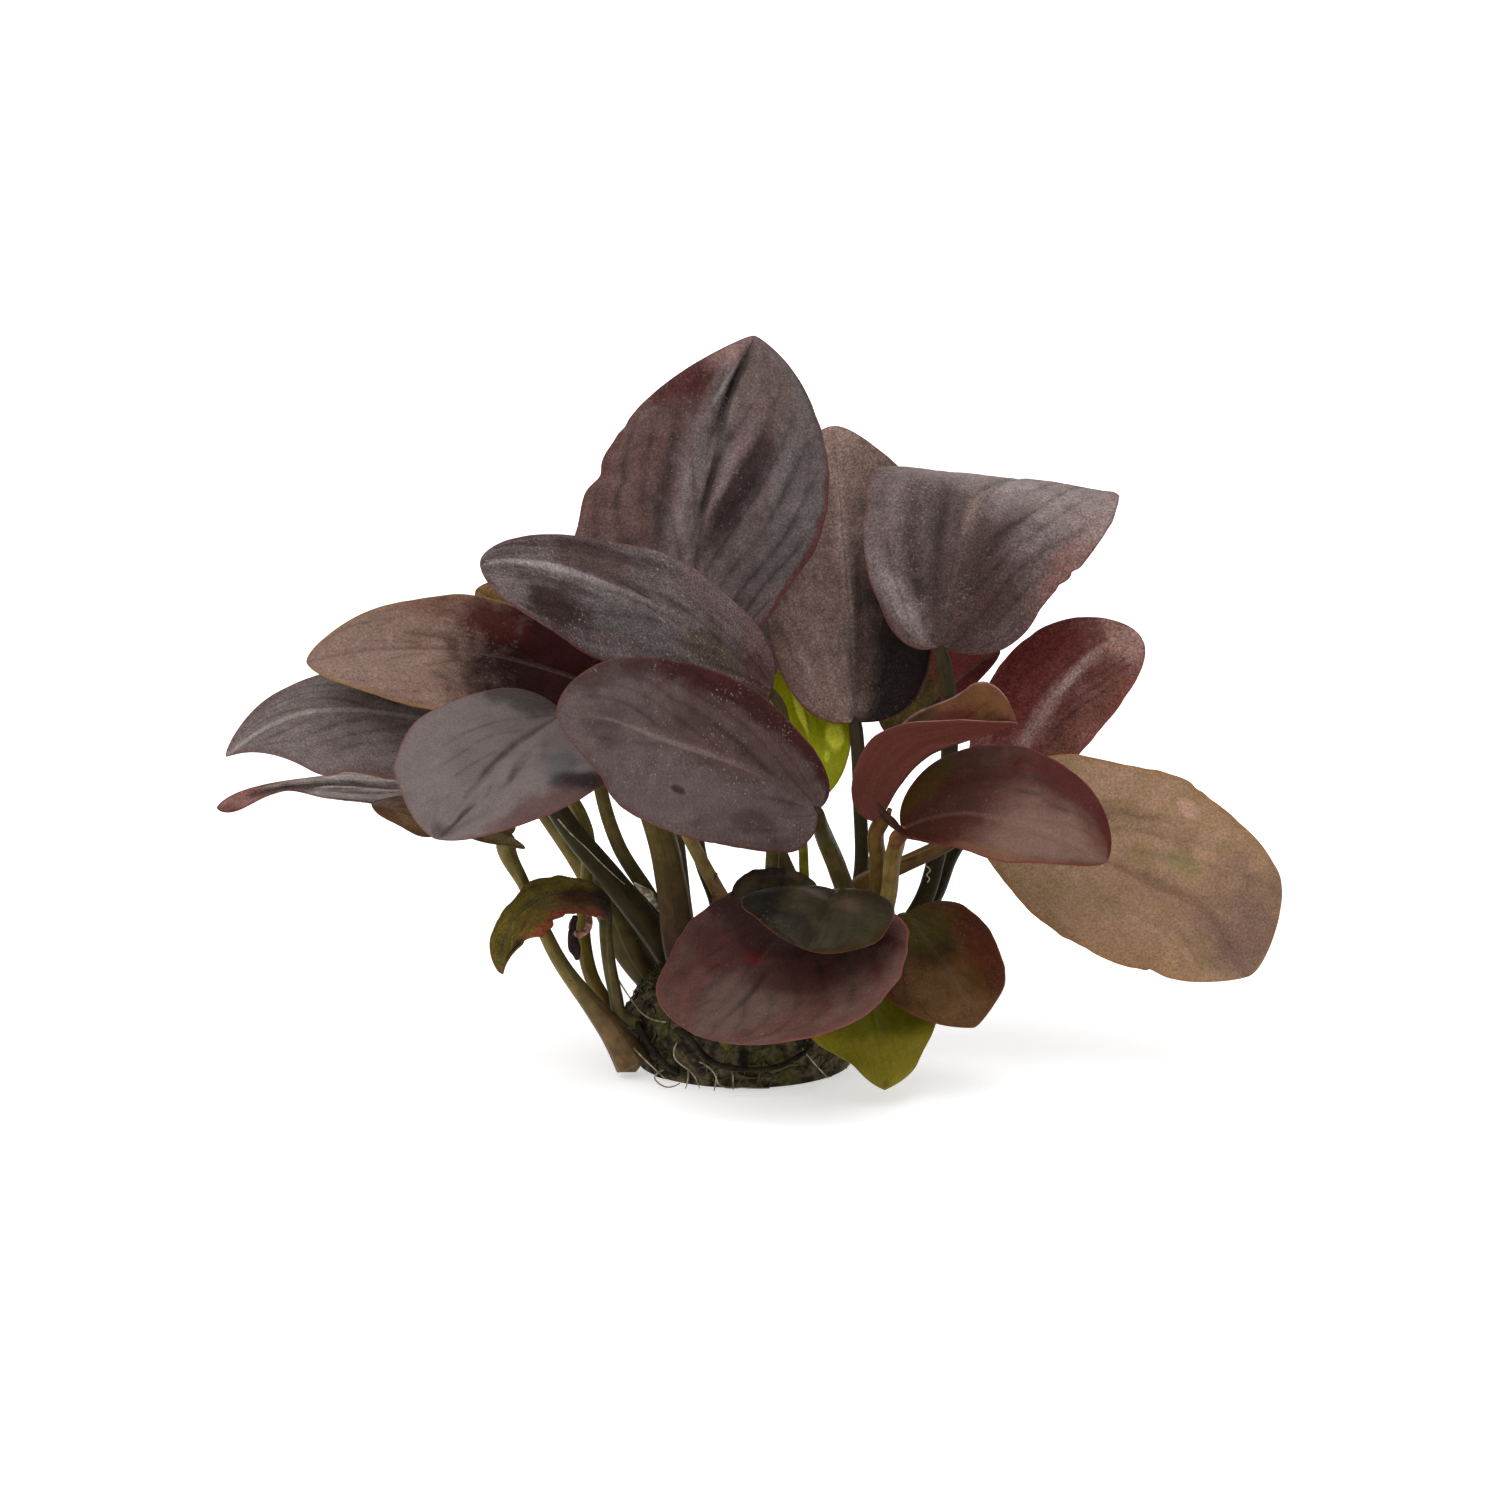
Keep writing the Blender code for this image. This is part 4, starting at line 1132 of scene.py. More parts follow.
@dataclass(frozen=True)
class Stalk:
    """A leaf's stalk: channelled on its inner side, sheathed at the foot, joined to the midrib."""

    leaf: Leaf
    finish: StalkFinish
    sides: int = 28
    ring_gap: float = 0.5
    channel: float = 0.2  # depth of the channel, as a share of the radius
    sheath: float = 0.14  # how much the sheath adds to the foot's radius
    sheath_share: float = 0.4

    def build(self) -> bpy.types.Object:
        """Models the stalk."""
        leaf = self.leaf
        away = unit(np.array(leaf.face[0], float))
        joint, end = smooth_path(leaf.midrib, np.array([0.8, 3.5]) / steps_of(leaf.midrib).sum())
        path = (*leaf.stalk, tuple(joint - away * 0.7), tuple(end - away * 1.1))
        lengths = steps_of(path)
        rings = round(lengths.sum() / self.ring_gap)
        shares = np.linspace(0, 1, rings)
        neck = 1 - lengths[-2:].sum() / lengths.sum()
        radius = smooth_values(leaf.stalk_radii, np.clip(shares / neck, 0, 1))
        radius = radius * (1 - 0.7 * fade(shares, neck, 1))
        angle = circle(self.sides)
        radii = round_radii(radius, self.sides)
        off = np.minimum(angle, 2 * math.pi - angle)
        radii = radii * (1 - self.channel * np.exp(-((off / 0.5) ** 2)) * fade(shares, 0.1, 0.4)[:, None])
        radii = radii * (1 + 0.03 * np.cos(5 * angle + 1))
        wrap = fade(np.abs(off - 1.1), 0.5, 0.2) * fade(shares, self.sheath_share, 0.1)[:, None]
        radii = radii * (1 + self.sheath * wrap)
        return make_tube("stalk_of_" + leaf.name, smooth_path(path, shares), radii, away)

    def dress(self, piece: bpy.types.Object) -> None:
        """Gives the stalk its finish and its place in the frame."""
        seat(piece, Slot.STALK, self.finish.material(piece.name), "stalk_" + self.leaf.name)


BLADE_FINISHES = {
    "tall": BladeFinish(
        body=(0.093, 0.059, 0.057), deep=(0.062, 0.033, 0.029), painted_sheen=(0.115, 0.091, 0.089), streak=0.7,
        shade=0.5, crinkle=0.2, grit=0.26, blush=(0.062, 0.018, 0.015), blush_width=2.6,
        blush_strength=0.75,
        patches=(
            Patch(0.3, 0.5, 0.14, 0.5, (0.068, 0.05, 0.049), 0.6),
            Patch(0.7, -0.25, 0.1, 0.25, (0.072, 0.05, 0.048), 0.6),
            Patch(0.28, -0.55, 0.16, 0.55, (0.134, 0.101, 0.095), 0.7),
            Patch(0.5, -0.75, 0.5, 0.4, (0.096, 0.045, 0.038), 0.7),
            Patch(0.82, -0.85, 0.12, 0.4, (0.054, 0.014, 0.013), 0.9),
            Patch(0.6, 0.8, 0.4, 0.28, (0.081, 0.069, 0.068), 0.6),
            Patch(0.84, 0.4, 0.14, 0.4, (0.108, 0.069, 0.06), 0.6),
            # painted shade in the long diagonal valley of the right half
            Patch(0.52, 0.27, 0.24, 0.14, (0.041, 0.02, 0.019), 0.65, lean=0.95),
            # painted highlight beside the fold near the tip
            Patch(0.85, -0.2, 0.1, 0.05, (0.219, 0.198, 0.198), 0.5, lean=0.3),
            # painted shade in that fold near the tip
            Patch(0.87, -0.06, 0.14, 0.06, (0.0081, 0.0055, 0.0057), 0.95, lean=0.15),
            Patch(0.94, -0.6, 0.08, 0.5, (0.225, 0.139, 0.126), 0.75),
            Patch(0.3, 1.0, 0.3, 0.07, (0.054, 0.014, 0.013), 0.8),
        ),
    ),
    "centre": BladeFinish(
        body=(0.19, 0.118, 0.097), deep=(0.135, 0.08, 0.066), painted_sheen=(0.23, 0.16, 0.137), shade=0.35,
        crinkle=0.26, grit=0.32,
        patches=(
            Patch(0.95, 0.2, 0.16, 1.2, (0.238, 0.156, 0.129), 0.7),
            # painted shadow: the right half lies in the shade of the arched leaf
            Patch(0.25, 0.9, 0.58, 0.86, (0.0062, 0.0031, 0.0021), 0.98, 1.0, 0.15),
            Patch(0.5, 0.0, 0.3, 0.05, (0.238, 0.175, 0.157), 0.5),
        ),
    ),
    "arched": BladeFinish(
        body=(0.107, 0.073, 0.067), deep=(0.064, 0.036, 0.033), painted_sheen=(0.148, 0.112, 0.109),
        painted_sheen_share=0.45, speck_and_glint_strength=0.35, shade=0.3, crinkle=0.2, grit=0.36,
        patches=(
            Patch(0.1, 0.75, 0.2, 0.5, (0.056, 0.03, 0.027), 0.7),
            Patch(0.05, 0.2, 0.3, 0.5, (0.043, 0.022, 0.018), 0.8),
            Patch(0.3, -0.25, 0.2, 0.35, (0.051, 0.032, 0.029), 0.7),
            Patch(0.5, 0.98, 0.3, 0.22, (0.168, 0.08, 0.067), 0.8),
            Patch(0.16, -0.85, 0.14, 0.18, (0.193, 0.163, 0.164), 0.35, 1.2, lean=-2.5),
            # painted highlight across the crest of the arch
            Patch(0.6, 0.1, 0.16, 1.3, (0.252, 0.198, 0.187), 0.75, 1.3),
            Patch(0.5, -0.1, 0.2, 0.06, (0.181, 0.117, 0.102), 0.5, lean=-0.3),
        ),
    ),
    "long": BladeFinish(
        body=(0.079, 0.052, 0.05), deep=(0.038, 0.02, 0.019), painted_sheen=(0.115, 0.091, 0.091), streak=0.95,
        shade=0.35, crinkle=0.16, grit=0.42, speck_and_glint_strength=0.5, blush_strength=0.3,
        patches=(
            Patch(0.68, 0.55, 0.12, 0.35, (0.054, 0.027, 0.021), 0.7),
            Patch(0.55, -0.35, 0.16, 0.25, (0.072, 0.062, 0.061), 0.8),
            Patch(0.24, -0.15, 0.14, 0.3, (0.054, 0.037, 0.018), 0.7),
            Patch(0.05, 0.0, 0.1, 1.5, (0.059, 0.021, 0.016), 0.8),
            Patch(0.2, 0.7, 0.2, 0.35, (0.12, 0.078, 0.072), 0.6),
            Patch(0.79, -0.55, 0.11, 0.32, (0.026, 0.012, 0.012), 0.95),
            # painted highlights along the raised ridge, this one and the next
            Patch(0.82, 0.22, 0.17, 0.08, (0.289, 0.249, 0.251), 0.5, 1.4, lean=0.9),
            Patch(0.55, 0.08, 0.25, 0.05, (0.179, 0.15, 0.15), 0.25, 1.4, lean=0.1),
            Patch(0.93, -0.5, 0.05, 0.4, (0.132, 0.1, 0.098), 0.7),
        ),
    ),
    "broad": BladeFinish(
        body=(0.086, 0.057, 0.052), deep=(0.063, 0.039, 0.036), painted_sheen=(0.102, 0.074, 0.07), shade=0.32,
        grit=0.18, speck_and_glint_strength=0.35,
        patches=(
            Patch(0.65, -0.5, 0.4, 0.5, (0.097, 0.07, 0.066), 0.6),
            Patch(0.35, 0.3, 0.35, 0.5, (0.063, 0.033, 0.028), 0.7),
            Patch(0.36, 0.9, 0.42, 0.26, (0.034, 0.0076, 0.0066), 0.97),
            Patch(0.85, 0.85, 0.1, 0.3, (0.04, 0.021, 0.019), 0.6),
            Patch(0.56, -0.52, 0.025, 0.045, (0.034, 0.016, 0.015), 0.9),
            Patch(0.25, -0.65, 0.08, 0.16, (0.052, 0.03, 0.027), 0.8),
            Patch(0.85, -0.2, 0.08, 0.25, (0.057, 0.037, 0.037), 0.6),
            Patch(0.6, -0.02, 0.3, 0.03, (0.16, 0.114, 0.104), 0.6),
        ),
    ),
    "drooping": BladeFinish(
        body=(0.129, 0.098, 0.094), deep=(0.109, 0.082, 0.079), painted_sheen=(0.143, 0.115, 0.11), shade=0.12,
        grit=0.1, speck_and_glint_strength=0.12, blush=(0.126, 0.057, 0.048),
        patches=(
            Patch(0.74, -0.9, 0.16, 0.28, (0.086, 0.04, 0.035), 0.85),
            Patch(0.48, -0.5, 0.16, 0.12, (0.075, 0.071, 0.069), 0.85, lean=-0.9),
            Patch(0.6, -0.82, 0.05, 0.2, (0.011, 0.0046, 0.0046), 0.9, 1.3),
            Patch(0.97, 0.0, 0.05, 0.4, (0.058, 0.037, 0.035), 0.7),
            Patch(0.88, -0.14, 0.08, 0.05, (0.069, 0.046, 0.043), 0.8),
            Patch(0.05, 0.8, 0.13, 0.6, (0.034, 0.023, 0.02), 0.8),
            Patch(0.5, -0.2, 0.2, 0.04, (0.092, 0.069, 0.065), 0.6, lean=-0.4),
        ),
    ),
    "bronze": BladeFinish(
        body=(0.186, 0.111, 0.086), deep=(0.139, 0.077, 0.057), painted_sheen=(0.221, 0.14, 0.113),
        margin=(0.18, 0.117, 0.025), blush=(0.167, 0.077, 0.025), shade=0.18, shine=0.05, grit=0.28,
        patches=(
            Patch(0.85, 0.0, 0.2, 0.8, (0.201, 0.129, 0.11), 0.6),
            Patch(0.48, 0.8, 0.18, 0.3, (0.072, 0.015, 0.0082), 0.5, 1.2),
            # dark red-brown base, darkened further by painted shade
            Patch(0.1, 0.0, 0.37, 1.7, (0.016, 0.0012, 0.001), 0.99, 0.85),
            Patch(0.36, -0.35, 0.16, 0.5, (0.0072, 0.0021, 0.001), 0.55, 1.2, 0.1),
            Patch(0.38, 0.55, 0.1, 0.3, (0.042, 0.0062, 0.0042), 0.8),
        ),
    ),
    "grey": BladeFinish(
        body=(0.119, 0.088, 0.083), deep=(0.079, 0.055, 0.051), painted_sheen=(0.146, 0.115, 0.109),
        margin=(0.132, 0.066, 0.055), midrib=(0.241, 0.197, 0.181), midrib_strength=0.8, shade=0.3,
        grit=0.3,
    ),
    "twisted": BladeFinish(
        body=(0.335, 0.269, 0.242), deep=(0.232, 0.169, 0.149), painted_sheen=(0.438, 0.382, 0.355), streak=0.9,
        shade=0.45,
        patches=(
            Patch(0.95, 0.0, 0.16, 2.5, (0.228, 0.101, 0.084), 0.95),
            Patch(0.98, -0.8, 0.06, 0.8, (0.091, 0.029, 0.023), 0.8),
        ),
    ),
    "level": BladeFinish(
        body=(0.118, 0.068, 0.019), deep=(0.068, 0.042, 0.011), painted_sheen=(0.171, 0.089, 0.028),
        margin=(0.051, 0.032, 0.014), underside=(0.085, 0.065, 0.014), underlight=(0.108, 0.082, 0.02),
        patches=(
            Patch(0.93, -0.55, 0.1, 0.4, (0.076, 0.021, 0.0044), 0.85),
            Patch(0.93, 0.6, 0.2, 0.6, (0.222, 0.152, 0.126), 0.8),
            Patch(0.1, -0.3, 0.25, 0.7, (0.128, 0.099, 0.025), 0.8),
        ),
    ),
    "chewed": BladeFinish(
        body=(0.088, 0.069, 0.0072), deep=(0.043, 0.034, 0.0029), painted_sheen=(0.134, 0.099, 0.012),
        margin=(0.108, 0.046, 0.012), blush_strength=0.2, underside=(0.063, 0.056, 0.0093),
        underlight=(0.094, 0.074, 0.012), speck_and_glint=(0.2, 0.085, 0.025), speck_and_glint_strength=0.7, shade=0.5,
        grit=0.4,
        patches=(
            Patch(0.22, -0.3, 0.2, 0.7, (0.048, 0.016, 0.006), 0.9, lean=-1.0),
            Patch(0.5, -1.05, 0.42, 0.28, (0.238, 0.039, 0.025), 0.85, 0.6, 1.0),
            Patch(0.55, -0.6, 0.3, 0.3, (0.138, 0.067, 0.014), 0.45, ragged=1.0),
            Patch(0.88, -0.9, 0.08, 0.4, (0.017, 0.0053, 0.0029), 0.95),
            Patch(0.02, 0.0, 0.1, 1.5, (0.01, 0.0053, 0.0029), 0.95),
        ),
    ),
    "low": BladeFinish(
        body=(0.091, 0.037, 0.029), deep=(0.063, 0.022, 0.018), painted_sheen=(0.112, 0.064, 0.05),
        painted_sheen_share=0.45, margin=(0.158, 0.055, 0.044), blush=(0.099, 0.024, 0.023), shade=0.25, grit=0.12,
        speck_and_glint_strength=0.12,
        patches=(
            # painted highlight: a greyish sheen
            Patch(0.7, -0.1, 0.3, 0.4, (0.112, 0.072, 0.057), 0.7),
            Patch(0.65, 0.5, 0.25, 0.12, (0.125, 0.049, 0.04), 0.6),
            Patch(0.4, 0.5, 0.15, 0.35, (0.065, 0.017, 0.013), 0.7),
            Patch(0.42, -0.3, 0.13, 0.35, (0.052, 0.017, 0.013), 0.8),
            Patch(0.3, 0.05, 0.07, 0.1, (0.132, 0.015, 0.015), 0.9),
            Patch(0.17, 0.2, 0.12, 1.2, (0.026, 0.0062, 0.0044), 0.8),
        ),
    ),
    "saddle": BladeFinish(
        body=(0.024, 0.017, 0.0057), deep=(0.011, 0.0089, 0.0027), painted_sheen=(0.032, 0.026, 0.0098),
        margin=(0.112, 0.026, 0.0071), margin_width=0.35, blush=(0.038, 0.012, 0.0029),
        midrib=(0.038, 0.018, 0.0085), shade=0.4, grit=0.1, speck_and_glint_strength=0.1, roughness=0.4, shine=0.09,
        patches=(
            # painted highlight: pale glints
            Patch(0.27, 0.22, 0.09, 0.2, (0.091, 0.069, 0.055), 0.8, 1.2, 0.1),
            Patch(0.85, 0.3, 0.15, 0.3, (0.0097, 0.0069, 0.0022), 0.7),
            # painted sheen across the middle, this one and the next
            Patch(0.42, -0.35, 0.1, 0.25, (0.055, 0.033, 0.02), 0.7),
            Patch(0.42, 0.4, 0.1, 0.2, (0.046, 0.027, 0.018), 0.7),
            Patch(0.55, 0.85, 0.4, 0.4, (0.0036, 0.0023, 0.0011), 0.9),
            Patch(0.1, -0.6, 0.2, 0.8, (0.015, 0.0059, 0.0011), 0.8),
            Patch(0.1, 0.6, 0.2, 0.5, (0.018, 0.0074, 0.0014), 0.7),
        ),
    ),
    "round": BladeFinish(
        body=(0.061, 0.024, 0.0052), deep=(0.04, 0.019, 0.0023), painted_sheen=(0.079, 0.034, 0.0096),
        painted_sheen_share=0.45, margin=(0.113, 0.033, 0.014), blush=(0.069, 0.012, 0.004), midrib_strength=0.1,
        underside=(0.055, 0.034, 0.0053), underlight=(0.07, 0.045, 0.0071), speck_and_glint=(0.3, 0.22, 0.13),
        shade=0.3, grit=0.15,
        patches=(
            Patch(0.92, 0.0, 0.14, 1.3, (0.1, 0.047, 0.017), 0.7),
            Patch(0.3, 0.05, 0.17, 0.5, (0.016, 0.0087, 0.001), 0.8),
            Patch(0.4, -0.8, 0.4, 0.35, (0.061, 0.012, 0.0035), 0.8),
            Patch(0.7, 0.2, 0.18, 0.5, (0.096, 0.048, 0.018), 0.6),
            Patch(0.05, 0.2, 0.28, 1.0, (0.038, 0.026, 0.0011), 0.9),
            Patch(0.42, 0.9, 0.16, 0.3, (0.015, 0.0063, 0.0011), 0.8),
        ),
    ),
    "lime": BladeFinish(
        body=(0.196, 0.161, 0.0086), deep=(0.147, 0.138, 0.0063), painted_sheen=(0.228, 0.188, 0.018),
        margin=(0.162, 0.087, 0.015), margin_width=0.4, blush_strength=0.0, midrib=(0.162, 0.158, 0.0099),
        furrow_shade=(0.098, 0.087, 0.0049), shade=0.12, grit=0.1, speck_and_glint_strength=0.05, roughness=0.4,
        underside=(0.156, 0.151, 0.0096), underlight=(0.191, 0.176, 0.012),
        patches=(
            Patch(0.3, 0.0, 0.25, 0.9, (0.107, 0.106, 0.0038), 0.8),
            Patch(0.98, 0.0, 0.05, 0.4, (0.162, 0.079, 0.03), 0.7),
        ),
    ),
    "olive": BladeFinish(
        body=(0.224, 0.135, 0.071), deep=(0.184, 0.126, 0.054), painted_sheen=(0.266, 0.159, 0.099),
        margin=(0.254, 0.11, 0.036), blush=(0.23, 0.11, 0.042), midrib=(0.15, 0.066, 0.053),
        midrib_strength=0.12, furrow_shade=(0.116, 0.056, 0.031), furrow_shade_strength=0.25, shade=0.2, streak=0.1,
        grit=0.25, underside=(0.122, 0.067, 0.033), underlight=(0.157, 0.094, 0.047),
        patches=(
            Patch(0.62, -0.32, 0.06, 0.12, (0.185, 0.138, 0.058), 0.7),
            Patch(0.72, 0.03, 0.25, 0.2, (0.2, 0.109, 0.074), 0.6, 1.4),
            Patch(0.7, 0.8, 0.3, 0.25, (0.277, 0.155, 0.084), 0.5),
            Patch(0.4, -0.45, 0.2, 0.08, (0.16, 0.094, 0.053), 0.6),
            Patch(0.55, -0.78, 0.04, 0.06, (0.346, 0.194, 0.147), 0.9, ragged=0.5),
            Patch(0.94, -0.35, 0.2, 0.7, (0.117, 0.066, 0.053), 0.75, 1.2),
        ),
    ),
    "wine": BladeFinish(
        body=(0.072, 0.023, 0.016), deep=(0.049, 0.013, 0.0076), painted_sheen=(0.103, 0.05, 0.038),
        painted_sheen_share=0.4, margin=(0.123, 0.027, 0.018), blush=(0.056, 0.0082, 0.006), blush_strength=0.8,
        shade=0.12, grit=0.1, speck_and_glint_strength=0.08, midrib=(0.154, 0.082, 0.063), midrib_strength=0.2,
        roughness=0.42,
        patches=(
            Patch(0.72, 0.25, 0.28, 0.7, (0.154, 0.086, 0.07), 0.85, 1.0),
            Patch(0.05, 0.0, 0.38, 1.4, (0.033, 0.0082, 0.0041), 0.9),
            Patch(0.1, -0.8, 0.15, 0.4, (0.04, 0.022, 0.0025), 0.8),
            Patch(0.6, 0.9, 0.25, 0.15, (0.144, 0.064, 0.029), 0.6),
            Patch(0.75, -0.85, 0.3, 0.28, (0.051, 0.0055, 0.0041), 0.9),
        ),
    ),
    "rolled": BladeFinish(
        body=(0.111, 0.045, 0.021), deep=(0.072, 0.02, 0.011), painted_sheen=(0.135, 0.057, 0.03),
        margin=(0.27, 0.153, 0.139), margin_width=0.6, underside=(0.105, 0.028, 0.021),
        underlight=(0.12, 0.035, 0.025), blush_strength=0.2, shade=0.35, grit=0.12, speck_and_glint_strength=0.05,
        patches=(
            Patch(0.5, -0.7, 0.1, 0.4, (0.048, 0.026, 0.013), 0.8),
            Patch(0.85, -0.6, 0.2, 0.3, (0.118, 0.048, 0.015), 0.7),
            Patch(0.65, -0.4, 0.15, 0.3, (0.087, 0.013, 0.014), 0.8),
        ),
    ),
    "ruby": BladeFinish(
        body=(0.141, 0.043, 0.035), deep=(0.099, 0.023, 0.019), painted_sheen=(0.189, 0.087, 0.073),
        painted_sheen_share=0.45, margin=(0.208, 0.054, 0.038), blush=(0.15, 0.025, 0.021),
        midrib=(0.32, 0.215, 0.19), midrib_strength=0.2, shade=0.3, crinkle=0.25, grit=0.4,
        speck_and_glint=(0.35, 0.22, 0.2), speck_and_glint_strength=0.35,
        patches=(
            Patch(0.5, -0.6, 0.3, 0.4, (0.114, 0.017, 0.015), 0.8),
            Patch(0.5, 0.75, 0.4, 0.25, (0.141, 0.054, 0.035), 0.6),
            Patch(0.95, -0.1, 0.1, 0.9, (0.292, 0.165, 0.14), 0.85),
            Patch(0.35, -0.02, 0.33, 0.12, (0.302, 0.205, 0.185), 0.5, 1.4, lean=-0.15),
            Patch(0.75, -0.15, 0.2, 0.08, (0.302, 0.205, 0.185), 0.5, 1.4, lean=-0.8),
        ),
    ),
    "speckled": BladeFinish(
        body=(0.07, 0.047, 0.013), deep=(0.043, 0.029, 0.0083), painted_sheen=(0.135, 0.108, 0.022),
        underside=(0.052, 0.039, 0.011), underlight=(0.073, 0.054, 0.015), speck_and_glint=(0.3, 0.17, 0.02),
        speck_and_glint_strength=0.9, blush_strength=0.0,
        patches=(Patch(0.8, 0.2, 0.35, 1.5, (0.148, 0.029, 0.029), 0.95, 0.4),),
    ),
    "bright": BladeFinish(
        body=(0.28, 0.286, 0.0026), deep=(0.215, 0.229, 0.0019), painted_sheen=(0.345, 0.355, 0.0065),
        painted_sheen_share=0.35, streak=0.9, margin=(0.258, 0.184, 0.0038), blush_strength=0.0,
        midrib=(0.301, 0.321, 0.0065), furrow_shade=(0.151, 0.161, 0.0019), shade=0.15, grit=0.1,
        speck_and_glint_strength=0.05, roughness=0.38, underside=(0.206, 0.226, 0.0034),
        underlight=(0.258, 0.275, 0.0052),
        patches=(
            Patch(0.6, -0.15, 0.17, 0.08, (0.75, 0.75, 0.076), 0.85, lean=-0.6),
            # painted highlight
            Patch(0.42, 0.6, 0.07, 0.2, (0.75, 0.75, 0.057), 0.8, ragged=0.6),
            Patch(0.3, 0.4, 0.04, 0.08, (0.537, 0.575, 0.026), 0.7, ragged=0.6),
        ),
    ),
    "tucked": BladeFinish(
        body=(0.05, 0.024, 0.021), deep=(0.035, 0.007, 0.004), painted_sheen=(0.085, 0.052, 0.047),
        patches=(Patch(0.97, 0.0, 0.14, 2.0, (0.24, 0.13, 0.045), 0.95),),
    ),
    "rear": BladeFinish(body=(0.08, 0.052, 0.047), deep=(0.05, 0.028, 0.025), painted_sheen=(0.1, 0.078, 0.073)),
}

